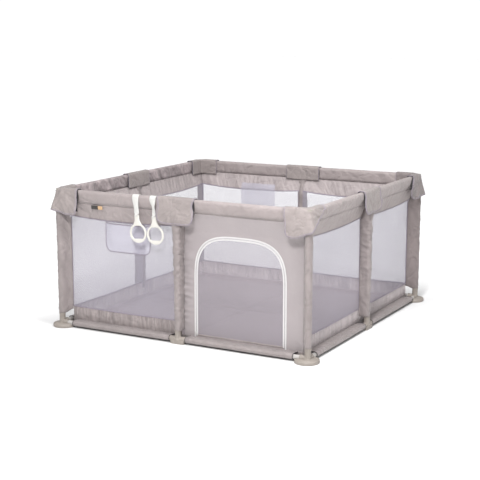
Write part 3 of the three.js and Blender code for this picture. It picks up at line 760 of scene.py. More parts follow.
def door_panel(line):
    """The solid front panel round the door, with soft rucks beside the posts."""
    inner, outer = arch_offset(line, PANEL_GAP), panel_edge(line)
    rows = []
    for level in np.linspace(0, 1, 26) ** 1.1:
        flat = inner + (outer - inner) * level
        x, z = flat[:, 0], flat[:, 1]
        out = wall_out(z)
        lean = smoothstep(z, FOLD_Z, SEAM_Z) * smoothstep(x, WALL - 60, WALL - 2) * (out - WALL)
        here = points_at(x + lean * level, out, z)
        free = smoothstep(np.linalg.norm(flat - inner, axis=1), 4, 60)
        here[:, 1] += free * smoothstep(WALL - x, 0, 30) * 3.4 * wobble(here, (170, 60, 120), 4.2)
        by_post = smoothstep(x, 76, 30) * smoothstep(np.abs(z - 300), 260, 120)
        ruck = 7.5 * wobble(here, (90, 60, 19), 7.7) + 3.4 * creases(here, (120, 80, 34), 2.2)
        here[:, 1] += by_post * ruck
        slanted = sheared(here, 2, 0.5 * here[:, 0])
        low_corner = smoothstep(z, 150, 60) * free
        here[:, 1] += low_corner * (2.2 * creases(slanted, (160, 80, 44), 5.1) - 0.6)
        rows.append(here)
    return rows


def zip_strip(line, near, far):
    edges = [arch_offset(line, off) for off in np.linspace(near, far, 5)]
    return [points_at(edge[:, 0], TAPE_OUT, edge[:, 1]) for edge in edges]


def teeth(line, offset, shift):
    """Small rounded coil loops along one edge of the zip."""
    middle = even(line, 2.9)
    edge = arch_offset(middle, offset)
    along = np.gradient(middle, axis=0)
    along /= np.linalg.norm(along, axis=1)[:, None]
    faces = [(3, 2, 1, 0), (8, 9, 10, 11)]
    for low in (0, 4):
        faces += [(low + i, low + (i + 1) % 4, low + 4 + (i + 1) % 4, low + 4 + i) for i in range(4)]
    parts = []
    for t, start in zip(along[1:-1], edge[1:-1]):
        n = np.array([-t[1], t[0]])
        points = []
        for out, half_along, half_across in COIL_SECTION:
            for a, c in ((-1, -1), (1, -1), (1, 1), (-1, 1)):
                spot = start + t * shift + t * a * half_along + n * c * half_across
                points.append((spot[0], out, spot[1]))
        parts.append((points, faces))
    return parts


def zip_seam(line, offset):
    edge = arch_offset(line, offset)
    return stitches(points_at(edge[:, 0], TAPE_OUT + 0.5, edge[:, 1]), radius=0.35)


def arch_half(z, inset):
    """Half the width of the arch at a height, some way inside the zip's line."""
    half, rise = ZIP_HALF - inset, CROWN_Z - inset - SPRING_Z
    up = np.clip((np.asarray(z, float) - SPRING_Z) / rise, 0, 1)
    return half * (1 - up**ARCH_POWER) ** (1 / ARCH_POWER)


def flap_net():
    """The door's mesh, inside the zip and down to the sill."""
    rows = []
    across = np.linspace(-1, 1, 60)
    top, low = CROWN_Z - INSIDE_NET - 0.4, SILL_Z + 0.6
    for level in np.linspace(0, 1, 48):
        z = low + (top - low) * math.sin(level * math.pi / 2)
        half = float(arch_half(z, INSIDE_NET))
        here = points_at(DOOR_X + across * half, WALL + 0.2, z)
        slack = smoothstep(half - np.abs(here[:, 0] - DOOR_X), 0, 70) * smoothstep(z, SILL_Z, 90)
        slack = slack * smoothstep(top - z, 0, 60)
        here[:, 1] += slack * 2.4 * wobble(here, (160, 60, 130), 2.1)
        rows.append(here)
    return rows


def flap_hem():
    """A narrow hem along the flap's foot."""
    x = DOOR_X + np.linspace(-1, 1, 60) * (ZIP_HALF - 8)
    return [points_at(x, WALL + out, SILL_Z + up) for up, out in ((0.7, 0.8), (3, 1.2), (7, 1.2), (9.5, 0.8))]


zip_line = even(arch_path(low=ZIP_LOW), 6.0)
flap_line = even(arch_path(low=SILL_Z + SILL_GAP), 6.0)

panel = sewn("door_panel", door_panel(zip_line), panel_cloth, "wall_fabric", "wall_front")

tuck = [(WALL + 0.6, 36.5), (WALL, 31.0), (WALL - 0.8, 24.0), (WALL - 1.5, 13.0), (WALL - 2.2, 1.4)]
rows = [points_at(np.linspace(2, WALL - 1.5, 90), out, up) for out, up in tuck]
sill = sewn("door_sill", rows, fabric, "wall_fabric", "wall_front")

sewn("zip_tape_outer", zip_strip(zip_line, 1.6, 9.2), zip_tape, "webbing", thick=0.8)
tape_inner = sewn("zip_tape_inner", zip_strip(flap_line, -9.2, -1.6), zip_tape, "webbing", thick=0.8,
                  body="door")
joined("zip_coil_outer", teeth(arch_path(low=30.0), 1.3, 0.0), zip_teeth)
inner_teeth = joined("zip_coil_inner", teeth(arch_path(low=SILL_Z + 1.5), -1.3, 1.45), zip_teeth,
                     body="door")
joined("zip_stitch_outer", zip_seam(zip_line, 7.6), zip_tape)
joined("zip_stitch_inner", zip_seam(flap_line, -7.6), zip_tape, body="door")

flap = sewn("door_net", flap_net(), door_net, "door_mesh", "door_flap", thick=0, body="door")
hem = sewn("door_hem", flap_hem(), fabric, "door_mesh", thick=0.9, body="door")


def zip_slider(x, z):
    """A curved body over the coil with a bridge and a hanging pull."""
    angles = np.linspace(0, 2 * math.pi, 28, endpoint=False)
    rows = []
    for out, grow in ((644.2, 0.2), (644.6, 0.7), (646.2, 0.7), (646.9, 0.1), (647.1, -0.9)):
        for angle in angles:
            up, across = squarish(math.sin(angle), 0.7), squarish(math.cos(angle), 0.7)
            half = 3.3 + grow + (0.5 - 0.5 * up) * 0.7
            rows.append((x + across * half, out, z + 7.6 + up * (6.9 + grow)))
    half_turn = np.linspace(0, math.pi, 12)
    bridge = [(x, 646.9 + 1.7 * math.sin(a), z + 11.5 - 4.2 * math.cos(a)) for a in half_turn]
    pull = []
    for angle in np.linspace(0, 2 * math.pi, 36):
        up, across = squarish(math.sin(angle), 0.6), squarish(math.cos(angle), 0.6)
        pull.append((x + across * (2.4 - 0.3 * up), 648.4, z + 5.0 + up * 7.0))
    plate = [(x, 648.4, level) for level in np.linspace(z - 2.2, z + 5, 6)]
    return [(rows, closed_faces(5, 28)), tube(bridge, 0.9, up=(1, 0, 0)), tube(pull, 0.75),
            tube(plate, 0.55, flat=3.4)]


slider = joined("slider", zip_slider(DOOR_X - ZIP_HALF, 46.0), slider_metal, body="zip")
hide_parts("zip_slider")


# ---------------------------------------------------------------- post sleeves

POST_R = 15.6
CORNER_SLEEVE = (70, 644)  # from its foot up under the cover
MID_SLEEVE = (64, 646)
DIAGONAL = np.array([1.0, 1.0]) / math.sqrt(2)
ACROSS = np.array([1.0, -1.0]) / math.sqrt(2)


def corner_loop(radius, inside):
    """Outline round a corner post and the web from it to the wall's corner: (along, out)."""
    reach = (SPAN - inside) * math.sqrt(2)
    start = np.array([inside, inside])

    def web_half(d):
        return 2.4 + (radius - 2.4) * float(smoothstep(d, reach * 0.25, reach))

    loop = [start + DIAGONAL * d + ACROSS * web_half(d) for d in np.linspace(0, reach, 14, endpoint=False)]
    for angle in np.linspace(math.pi / 2, -math.pi / 2, 17):
        round_post = DIAGONAL * (reach + radius * math.cos(angle)) + ACROSS * radius * math.sin(angle)
        loop.append(start + round_post)
    loop += [start + DIAGONAL * d - ACROSS * web_half(d) for d in np.linspace(reach, 0, 15)[1:]]
    return np.array(loop)


def corner_sleeve(turns):
    """Round a corner post and its web, rucked along the web and puffed round the post."""
    seed = 11.0 + turns * 3.7
    low, high = CORNER_SLEEVE
    rows = []
    for level in np.linspace(0, 1, 110):
        z = low + level * (high - low)
        radius = POST_R + 1.2 * float(smoothstep(z, 380, 560))
        loop = corner_loop(radius, min(float(wall_out(z)) + 1.0, SPAN - 8))
        away = loop - SPAN
        distance = np.linalg.norm(away, axis=1)
        web = smoothstep(distance, radius - 1, radius + 22)
        lift = 15 * smoothstep(distance, radius, 58) * (1 - smoothstep(level, 0.0, 0.08))
        here = np.column_stack([loop, z + lift])
        sign = np.sign(away @ ACROSS + 1e-9)
        slope = sheared(here, 2, 0.9 * distance * (1 if turns % 2 else -1))
        ruck = 3.2 * wobble(slope, (50, 50, 38), seed) + 5.4 * creases(slope, (110, 110, 44), seed + 4)
        both = 1.6 * wobble(points_at(0, 0, here[:, 2]), (1, 1, 70), seed + 6)
        ease = smoothstep(distance, radius + 30, radius + 4)
        here[:, :2] += ACROSS * (both * web * ease)[:, None]
        here[:, :2] += ACROSS * (sign * ruck * web * ease * 0.8)[:, None]
        puff = 0.6 + 1.5 * wobble(here, (22, 22, 26), seed + 8) + 1.5 * creases(here, (36, 36, 22), seed)
        amount = (1 - web) * np.clip(puff, 0, 3)
        here[:, :2] += away / np.maximum(distance, 1)[:, None] * amount[:, None]
        rows.append(here)
    return rows


def mid_sleeve(turns):
    """Round a middle post, with its two cheeks running in to the wall."""
    seed = 31.0 + turns * 2.9
    low, high = MID_SLEEVE
    rows = []
    for level in np.linspace(0, 1, 120):
        z = low + level * (high - low)
        wide = float(smoothstep(z, 420, 590))
        radius, root = POST_R + 3.2 * wide, 12.5 + 7.0 * wide
        inside = min(float(wall_out(z)) + 0.5, SPAN - 20)
        steps = np.linspace(0, 1, 9)[:-1]
        cheek = [(root + (radius - root) * t, inside + (SPAN - inside) * t) for t in steps]
        loop = [(-x, out) for x, out in cheek]
        for angle in np.linspace(math.pi, 0, 19):
            loop.append((radius * math.cos(angle), SPAN + (radius - 2.0) * math.sin(angle)))
        loop = np.array(loop + cheek[::-1])
        here = np.column_stack([loop, np.full(len(loop), z)])
        away = loop - np.array([0, SPAN])
        direction = away / np.maximum(np.linalg.norm(away, axis=1), 1)[:, None]
        attached = smoothstep(loop[:, 1], inside, inside + 16)
        slanted, other = sheared(here, 2, here[:, 0] * 1.5), sheared(here, 2, here[:, 0] * -1.5)
        ruck = 0.6 + 1.8 * wobble(here, (24, 24, 60), seed)
        ruck += 4.2 * creases(slanted, (90, 90, 44), seed + 4) + 4.2 * creases(other, (90, 90, 52), seed + 7)
        ruck *= (0.5 + 0.8 * float(smoothstep(z, 200, 520))) * attached
        here[:, :2] += direction * np.clip(ruck, -0.8, 6.5)[:, None]
        here[:, 0] += 2.0 * attached * noise_at(seed, 3.3, z / 90.0)
        rows.append(here)
    return rows


for turns, corner in enumerate(CORNERS):
    # the back right post sleeve takes the darker copy with painted shade
    finish = painted_shade_sleeve if corner == "back_right" else sleeve_cloth
    piece = sewn(f"corner_sleeve_{corner}", corner_sleeve(turns), finish, "wall_fabric", turns=turns,
                 thick=0.9, wrap_cols=True)

for turns, side in enumerate(SIDES):
    piece = sewn(f"mid_sleeve_{side}", mid_sleeve(turns), sleeve_cloth, "wall_fabric", turns=turns,
                 thick=0.9, wrap_cols=True)


# ---------------------------------------------------------------- joint covers

COVER_TOP, COVER_IN, COVER_OUT, COVER_ROUND = 703.6, 663.6, 700.6, 10.0
SHOULDER = COVER_TOP - COVER_ROUND
COVER_THICK = 1.8
HEM_WIDTH = 6.5
ARM_END = SPAN - 120.0
TIP_REACH = 142.0  # from an arm's end to the tip, along the hem
SHOULDER_DROP = 8.0  # the cover's top falls this far towards the corner


def cover_rows(inner_hem, outer_hem):
    """The cover's section as (out, up, share down the outer flap, share down the inner flap)."""
    inner = [inner_hem, inner_hem + HEM_WIDTH] + list(np.linspace(inner_hem + 16, SHOULDER, 6)[:-1])
    rows = [(COVER_IN, z, 0.0, (SHOULDER - z) / (SHOULDER - inner_hem)) for z in inner]
    for angle in np.radians(np.linspace(180, 90, 6)):
        out = COVER_IN + COVER_ROUND * (1 + math.cos(angle))
        rows.append((out, SHOULDER + COVER_ROUND * math.sin(angle), 0.0, 0.0))
    flat_top = np.linspace(COVER_IN + COVER_ROUND, COVER_OUT - COVER_ROUND, 4)[1:-1]
    rows += [(out, COVER_TOP, 0.0, 0.0) for out in flat_top]
    for angle in np.radians(np.linspace(90, 0, 6)):
        out = COVER_OUT - COVER_ROUND * (1 - math.cos(angle))
        rows.append((out, SHOULDER + COVER_ROUND * math.sin(angle), 0.0, 0.0))
    length = SHOULDER - outer_hem
    shares = list(np.linspace(0, 1 - HEM_WIDTH / length, 20)[1:]) + [1.0]
    return rows + [(COVER_OUT, SHOULDER - share * length, share, 0.0) for share in shares]


def hem_lift(distance, radius):
    """How much a hem rises towards a rounded lower corner, this far from the side edge."""
    d = np.clip(distance, 0, radius)
    return radius - math.sqrt(max(radius * radius - (radius - d) ** 2, 0.0))


def closure_strip(section, end, direction, peep, spread=0.0):
    """Dark closure tape that peeps out at one end of a cover."""
    rows = []
    for out, up, outer, _ in section:
        inward = (1.6 if out < SPAN else -1.6) * (1 if up < COVER_TOP - 2 else 0.3)
        under_out = out + inward + outer * 2.4
        under_up = up - (1.6 if up > SHOULDER else 0)
        edge = end + direction * (spread * outer**0.9 - (6 * math.sin(math.pi * outer) if spread > 0 else 0))
        more = peep * (0.75 + 0.5 * math.sin(up / 17.0))
        rows.append(points_at([edge - direction * 12, edge + direction * more], under_out, under_up))
    return np.array(rows)


def cover_trim(grid, hem_shift, ends, rim_shift):
    """Stitches along a cover's hem and ends, and the piping round its edge."""
    trim = stitches(grid[-2] + hem_shift, radius=0.6, up=(0, 0, 1))
    for column, shift, up in ends:
        trim += stitches(grid[-20:-1, column] + shift, radius=0.6, up=up)
    for inset in (0, 1):
        last = len(grid) - 1 - inset
        lower = grid[last, inset:grid.shape[1] - inset]
        rim = np.concatenate([grid[:last, inset], lower, grid[last - 1::-1, -1 - inset]])
        trim.append(tube(rim + np.array(rim_shift) * inset, 1.3, 6, up=(0.37, 0.41, 0.83)))
    return trim


# each arm's hem: height at the tip, at its lowest and at the arm's end, and how far it spreads
CORNER_COVERS = {
    "front_right": {"a": (597, 568, 596, -14), "b": (600, 600, 690, 0), "closure": "a", "peep": 2.2},
    "back_right": {"a": (588, 578, 630, 42), "b": (590, 578, 612, 0), "closure": "a", "peep": 11.0},
    "back_left": {"a": (594, 578, 612, 0), "b": (594, 578, 612, 0), "closure": "b", "peep": 4.0},
    "front_left": {"a": (596, 580, 612, 0), "b": (596, 577, 590, 0), "closure": "b", "peep": 8.0},
}


def hem_height(corner, arm, share):
    """How high the hem hangs at a share of the way from the arm's end to the corner's tip."""
    tip, low, end, _ = CORNER_COVERS[corner][arm]
    if low >= tip:
        return tip + (end - tip) * (1 - share) ** 0.8
    rise = float(smoothstep(share, 0.30, 1.05)) * (tip - low)
    return low + rise + hem_lift(share * TIP_REACH, end - low)


def arm_point(corner, arm, share, row, seed):
    """A point of one arm: it runs out to the corner's tip, and its outer flap fans out in folds."""
    out, up, outer, inner = row
    first = arm == "a"
    spread = CORNER_COVERS[corner][arm][3]
    hem = hem_height(corner, arm, share) + 2.0 * noise_at(share * 3 + (0 if first else 5), seed, 0.4)
    z = up if outer == 0 else SHOULDER - outer * (SHOULDER - hem)
    tip_side = float(smoothstep(share, 0.25, 1.0))
    u = out + outer * (3.0 + 4.0 * tip_side) + outer**1.8 * (1.0 + 7.0 * tip_side)
    start = ARM_END - spread * outer**0.9 + 6 * math.sin(math.pi * outer) * (1 if spread > 0 else 0)
    s = start + share * (u - start)
    if outer > 0:
        fan = math.atan2(share * 130 - 118, 706 - z + 14) * 3.4
        fold = noise_at(fan, outer * 0.8 + seed, 1.7 if first else 6.1)
        crease = crease_at(fan * 0.8, seed + 4, 3.0 if first else 8.0)
        u += outer**0.7 * (1 - 0.75 * share**3) * (9.0 * fold + 7.0 * crease + 0.6) + 0.6
    if inner > 0:
        u -= inner * (1.5 + 2.5 * noise_at(share * 3.1, z / 60, seed))
    else:
        across_top = float(smoothstep(out, COVER_IN + 8, COVER_OUT - 1))
        z -= SHOULDER_DROP * float(smoothstep(share, 0.74, 1.0)) * across_top * (1 - outer)
    if outer == 0 and inner == 0:
        z += 0.7 * noise_at(share * 4, out / 20, seed)
    return (s, u, z) if first else (u, s, z)


def corner_grid(corner, seed):
    """Both arms of a corner cover in one sheet."""
    shares = np.concatenate([[0.0, HEM_WIDTH / 140], np.linspace(0.10, 1, 22)])
    count = len(shares)
    section = cover_rows(622.0, 570.0)
    grid = np.zeros((len(section), 2 * count - 1, 3))
    for arm in ("a", "b"):
        for index, share in enumerate(shares):
            column = index if arm == "a" else 2 * count - 2 - index
            for row, level in enumerate(section):
                grid[row, column] = arm_point(corner, arm, share, level, seed)
    # the two arms meet in a soft ridge: rounder at the top than at the tip
    columns, left, right = [slice(count - 8 + i, count + 7 + i) for i in (0, -1, 1)]
    for step in range(34):
        softer = grid.copy()
        for row, (_, up, outer, _) in enumerate(section):
            reach = max(2, int(round(26 * (1 - outer) ** 2)))
            if outer == 0:
                reach = 34 if up > SHOULDER else 12
            if step < reach:
                softer[row, columns] = 0.5 * grid[row, columns] + 0.25 * (grid[row, left] + grid[row, right])
        grid = softer
    return grid


for turns, corner in enumerate(CORNERS):
    grid = corner_grid(corner, 51.0 + turns * 5.3)
    # the back right cover takes the darker copy with painted shade
    finish = painted_shade_cover if corner == "back_right" else cover_cloth
    piece = sewn(f"cover_{corner}", grid, finish, "taupe_fabric", f"corner_cover_{corner}", turns=turns,
                 thick=COVER_THICK)
    ends = [(1, [0, 1.3, 0], (1, 0, 0)), (-2, [1.3, 0, 0], (0, 1, 0))]
    trim = cover_trim(grid, [0.8, 0.8, 0], ends, [0.8, 0.8, 0])
    stitch = joined(f"cover_piping_{corner}", trim, lilac_trim, turns)
    facts = CORNER_COVERS[corner]
    arm = facts["closure"]
    section = cover_rows(626.0, hem_height(corner, arm, 0.0) + 4)
    strip = closure_strip(section, ARM_END, -1, facts["peep"], facts[arm][3])
    if arm == "b":
        strip = strip[:, :, [1, 0, 2]]
    tape = sewn(f"closure_{corner}", strip, closure, "taupe_fabric", turns=turns)

MID_HALF = 101.0
# each middle cover's hem height, and the end where its closure shows
MID_COVERS = {"front": (576.0, 1), "right": (588.0, -1), "back": (582.0, -1), "left": (582.0, 1)}


def mid_point(s, row, low_hem, seed):
    """A point of a middle cover: its outer flap bells out and folds a little."""
    out, up, outer, inner = row
    hem = low_hem + hem_lift(MID_HALF - abs(s), 40.0) + 3 * noise_at(s / 60, seed, 0.2)
    z = up if outer == 0 else SHOULDER - outer * (SHOULDER - hem)
    u = out
    if outer > 0:
        fold = noise_at(s / 50 + z / 130, z / 150, seed)
        crease = crease_at(s / 70 - z / 160, z / 140, seed + 6)
        bend = 0.5 - 0.5 * math.cos(s / MID_HALF * math.pi)
        u += 0.8 + outer**0.8 * (3.6 * fold + 2.8 * crease) + outer * (2.5 + 4.0 * bend)
    if inner > 0:
        u -= inner * (1.2 + 2.0 * noise_at(s / 50, z / 60, seed + 3))
    if outer == 0 and inner == 0:
        z += 0.6 * noise_at(s / 40, out / 20, seed)
    narrow = 1 - 0.07 * math.sin(math.pi * min(1.0, outer * 1.6)) * abs(s) / MID_HALF
    return (s * narrow, u, z)


for turns, side in enumerate(SIDES):
    low_hem, hand = MID_COVERS[side]
    inner_columns = np.linspace(-1, 1, 38)[1:-1] * (MID_HALF - 12)
    ends = np.array([MID_HALF - HEM_WIDTH, MID_HALF])
    columns = np.concatenate([-ends[::-1], inner_columns, ends])
    section = cover_rows(626.0, low_hem)
    grid = np.array([[mid_point(s, row, low_hem, 81.0 + turns * 4.1) for s in columns] for row in section])
    piece = sewn(f"mid_cover_cloth_{side}", grid, cover_cloth, "taupe_fabric", f"mid_cover_{side}",
                 turns=turns, thick=COVER_THICK)
    ends = [(column, [0, 1.3, 0], (1, 0, 0)) for column in (1, -2)]
    trim = cover_trim(grid, [0, 1.3, 0], ends, [0, 1.1, 0])
    stitch = joined(f"mid_cover_piping_{side}", trim, lilac_trim, turns)
    strip = closure_strip(cover_rows(630.0, low_hem + 42), hand * MID_HALF * 0.97, hand, 6.0)
    tape = sewn(f"mid_closure_{side}", strip, closure, "taupe_fabric", turns=turns)


# ---------------------------------------------------------------- feet

SOCKET_R = 11.3  # inside a lying socket
SOCKET_TOP = 70
DISC_SHIFT, CORNER_ARM = 8, 38  # how far the disc sits inside the post, and how far its sockets reach
MID_ARM, MID_OVERLAP = 42, 6


def made_real(piece):
    """Apply a piece's modifiers to its mesh."""
    bpy.context.view_layer.update()
    evaluated = piece.evaluated_get(bpy.context.evaluated_depsgraph_get())
    mesh = bpy.data.meshes.new_from_object(evaluated)
    piece.modifiers.clear()
    piece.data = mesh
    smooth(mesh)


def union(name, parts, material, turns):
    """Closed solids joined into one."""
    pieces = [joined(f"{name}_{index}", [part], material, turns=turns) for index, part in enumerate(parts)]
    main = pieces[0]
    for other in pieces[1:]:
        weld = main.modifiers.new("weld", "BOOLEAN")
        weld.operation, weld.solver, weld.object = "UNION", "MANIFOLD", other
    made_real(main)
    main.name = name
    for other in pieces[1:]:
        bpy.data.objects.remove(other)
    split = main.modifiers.new("edges", "EDGE_SPLIT")
    split.split_angle = math.radians(42)
    return main


def socket_profile(base):
    """A post's socket: a flared foot, a plain neck and a collar round its mouth."""
    foot = [(0, 0), (21, 0), (18.4, 1.2), (16.6, 3.2), (15.5, 7), (15.1, 12)]
    collar = [(15.0, 8.4), (15.6, 7.6), (16.2, 6.6), (16.3, 6), (16.3, 1.2), (16.0, 0.4), (15.4, 0)]
    mouth = [(13.2, 0), (12.8, 1), (12.8, 33), (0, 33)]
    profile = [(radius, base + up) for radius, up in foot]
    return profile + [(radius, SOCKET_TOP - down) for radius, down in collar + mouth]


def arm_profile(start, end):
    """A lying socket for a base rail, with a collar and an open mouth at its end."""
    sign = 1 if end > start else -1
    outside = [(13.4, 5), (14.1, 4.4), (14.1, 1), (13.6, 0)]
    mouth = [(SOCKET_R + 0.2, 0), (SOCKET_R, 1), (SOCKET_R, 14), (0, 14)]
    profile = [(0, start), (13.0, start), (13.4, start + sign * 2)]
    return profile + [(radius, end - sign * back) for radius, back in outside + mouth]


DISC = [(0, 0), (54.5, 0), (56.6, 0.6), (57.7, 2.0), (58.0, 4.0), (58.0, 12.0), (57.6, 14.2), (56.2, 16.0),
        (54.0, 16.9), (51.2, 16.9), (50.2, 16.2), (49.2, 16.0), (48.2, 16.6), (47.0, 18.2), (45.2, 19.4),
        (42.5, 20.0), (24, 20.6), (0, 20.6)]


def rounded_block(half_x, half_y, height, corner, centre):
    """A low block with rounded corners and a soft upper edge."""
    outline = []
    for cx, cy, start in ((1, 1, 0), (-1, 1, 90), (-1, -1, 180), (1, -1, 270)):
        for angle in np.radians(np.linspace(start, start + 90, 9)):
            x = cx * (half_x - corner) + corner * math.cos(angle)
            outline.append((x, cy * (half_y - corner) + corner * math.sin(angle)))
    edge = ((3, 1.0), (1.2, 0.985), (0.3, 0.96), (0, 0.92))
    levels = [(0, 0.98), (1, 1.0)] + [(height - down, scale) for down, scale in edge]
    points = [(centre[0] + x * scale, centre[1] + y * scale, z) for z, scale in levels for x, y in outline]
    return points, closed_faces(len(levels), len(outline))


def foot(name, node_name, parts, turns):
    piece = union(name, parts, foot_plastic, turns)
    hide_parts(node_name)


for turns, corner in enumerate(CORNERS):
    parts = [
        lathe(DISC, (SPAN - DISC_SHIFT, SPAN - DISC_SHIFT, 0), 96),
        lathe(socket_profile(17.5), (SPAN, SPAN, 0)),
        lathe(arm_profile(SPAN, SPAN - CORNER_ARM), (0, SPAN, BASE_Z), axis="along"),
        lathe(arm_profile(SPAN, SPAN - CORNER_ARM), (SPAN, 0, BASE_Z), axis="out"),
    ]
    foot(f"foot_{corner}", f"corner_foot_{corner}", parts, turns)

for turns, side in enumerate(SIDES):
    parts = [
        rounded_block(37.0, 17.0, 20.0, 8.0, (0, SPAN)),
        lathe(socket_profile(19.0), (0, SPAN, 0)),
        lathe(arm_profile(-MID_OVERLAP, MID_ARM), (0, SPAN, BASE_Z), axis="along"),
        lathe(arm_profile(MID_OVERLAP, -MID_ARM), (0, SPAN, BASE_Z), axis="along"),
    ]
    foot(f"mid_foot_plastic_{side}", f"mid_foot_{side}", parts, turns)


# ---------------------------------------------------------------- pockets and tag

POCKET_X, POCKET_HALF, POCKET_LOW, POCKET_TOP, POCKET_CORNER = -304.0, 128.0, 402.0, 543.0, 35.0


def pocket_sheet():
    """A rounded net pocket that bellies out from the wall and hangs open at the top."""
    rows = []
    for level in np.linspace(0, 1, 30):
        z = POCKET_TOP - (POCKET_TOP - POCKET_LOW) * math.sin(level * math.pi / 2)
        drop = np.clip(POCKET_LOW + POCKET_CORNER - z, 0, POCKET_CORNER)
        half = POCKET_HALF - POCKET_CORNER + math.sqrt(max(POCKET_CORNER**2 - drop**2, 0))
        here = points_at(POCKET_X + np.linspace(-1, 1, 44) * half, 643.8, z)
        side_gap = smoothstep(half - np.abs(here[:, 0] - POCKET_X), 0, 46)
        low_gap = smoothstep(z - POCKET_LOW, 0, 60)
        here[:, 1] += side_gap * low_gap * (9.5 + 2.5 * wobble(here, (70, 50, 60), 3.3))
        here[:, 2] -= 3.0 * side_gap * smoothstep(z, 500, 543)
        rows.append(here)
    return rows


def pocket_outline():
    corner_z = POCKET_LOW + POCKET_CORNER
    left = [(POCKET_X - POCKET_HALF, 645.0, z) for z in np.linspace(POCKET_TOP + 4, corner_z, 12)]
    right = [(POCKET_X + POCKET_HALF, 645.0, z) for _, _, z in left[::-1]]
    corners = []
    for first, cx in ((math.pi, -1), (1.5 * math.pi, 1)):
        for angle in np.linspace(first, first + math.pi / 2, 12):
            x = POCKET_X + cx * (POCKET_HALF - POCKET_CORNER) + POCKET_CORNER * math.cos(angle)
            corners.append((x, 645.0, corner_z + POCKET_CORNER * math.sin(angle)))
    return left + corners + right


rows = pocket_sheet()
pocket = sewn("pocket_net_front", rows, pocket_net, "pocket_mesh", "front_pocket", thick=0)
trims = [tube(resampled(pocket_outline(), 6.0), 1.9), tube(rows[0] + [0, 0.4, 0], 2.4)]
trim = joined("pocket_trim_front", trims, lilac_trim)

# A flat pocket inside the back wall, with a folded pleat in the shape of a V
BACK_X, BACK_HALF, BACK_LOW = 272.0, 108.0, 400
rows = []
for z in np.linspace(BACK_LOW, 588, 24):
    here = points_at(BACK_X + np.linspace(-1, 1, 24) * BACK_HALF, 638.4, z)
    inside = smoothstep(BACK_HALF - np.abs(here[:, 0] - BACK_X), 0, 40)
    here[:, 1] -= 1.5 * inside * smoothstep(z, BACK_LOW, BACK_LOW + 40)
    here[:, 1] += 10 * smoothstep(z, 560, 588)
    rows.append(here)
back_pocket = sewn("pocket_net_back", rows, pocket_net, "pocket_mesh", turns=2, thick=0)
up_side = np.linspace(BACK_LOW, 552, 16)
trims = [tube(points_at(BACK_X + s, 638.6, up_side), 0.8) for s in (-BACK_HALF, BACK_HALF)]
trims.append(tube(points_at(BACK_X + np.linspace(-BACK_HALF, BACK_HALF, 20), 638.6, BACK_LOW), 1.2))
down = np.linspace(0, 1, 12)
trims += [tube(points_at(BACK_X + s * (100 - 90 * down), 636.6, 535 - 110 * down), 0.7, 6) for s in (-1, 1)]
trim = joined("pocket_trim_back", trims, pocket_edge, 2)

# Plain sewn tag under the front rail's seam
TAG_HALVES = [("tag_dark_end", -491, -452, tag_dark), ("tag_light_end", -452, -426, tag_tan)]
for name, low, high, finish in TAG_HALVES:
    rows = []
    for z in np.linspace(610, 628, 8):
        here = points_at(np.linspace(low, high, 14), 682.0 + (z - 628) * 0.12, z)
        here[:, 1] += 0.8 * wobble(here, (30, 30, 20), 9.0)
        rows.append(here)
    piece = sewn(name, rows, finish, "wall_fabric", thick=0.9)


# ---------------------------------------------------------------- mat

MAT_HALF, MAT_LOW, MAT_TOP = 639.6, 1.2, 9.0
MAT_CORNER, MAT_SEAM, MAT_RISE = 40.0, 26.0, 26.0
MAT_CELLS = 150


def mat_rim(x, y):
    return np.clip(np.minimum(MAT_HALF - np.abs(x), MAT_HALF - np.abs(y)), 0, None)


def to_seam(x, y):
    """Distance to the nearest seam: two cross the mat, one runs round its edge."""
    return np.minimum(np.minimum(np.abs(x), np.abs(y)), np.abs(mat_rim(x, y) - MAT_SEAM))


def mat_mesh():
    """The padded mat, with soft panels between its seams."""
    line = np.linspace(-1, 1, MAT_CELLS) * MAT_HALF
    x, y = np.meshgrid(line, line)
    straight = MAT_HALF - MAT_CORNER
    past_x, past_y = np.abs(x) - straight, np.abs(y) - straight
    over = np.hypot(np.clip(past_x, 0, None), np.clip(past_y, 0, None))
    pull = np.where(over > MAT_CORNER, MAT_CORNER / np.maximum(over, 1e-9), 1.0)
    in_corner = (past_x > 0) & (past_y > 0)
    px = np.where(in_corner, np.sign(x) * (straight + past_x * pull), x)
    py = np.where(in_corner, np.sign(y) * (straight + past_y * pull), y)
    body = np.clip(to_seam(px, py) / 15, 0, 1)
    puff = np.sqrt(1 - (1 - body) ** 2)
    edge = smoothstep(mat_rim(px, py), 0, 8)
    ripple = 0.5 * wobble(np.stack([px, py, np.zeros_like(px)], -1), (150, 150, 1), 2.0)
    top = np.minimum(MAT_LOW + 1.0 + edge * (2.6 + 3.4 * puff + ripple * puff), MAT_TOP)
    upper = np.stack([px, py, top], -1).reshape(-1, 3)
    lower = np.stack([px, py, MAT_LOW + 0.4 * (1 - edge)], -1).reshape(-1, 3)
    cells = MAT_CELLS
    count = cells * cells
    faces = grid_faces(cells, cells)
    faces += [tuple(count + i for i in reversed(face)) for face in faces]
    rest = range(1, cells)
    border = list(range(cells)) + [i * cells + cells - 1 for i in rest]
    border += [count - 1 - i for i in rest] + [(cells - 1 - i) * cells for i in rest[:-1]]
    faces += [(b, a, count + a, count + b) for a, b in zip(border, border[1:] + border[:1])]
    return np.concatenate([upper, lower]), faces


def coordinates(mesh):
    flat = np.empty(len(mesh.vertices) * 3)
    mesh.vertices.foreach_get("co", flat)
    return flat.reshape(-1, 3)


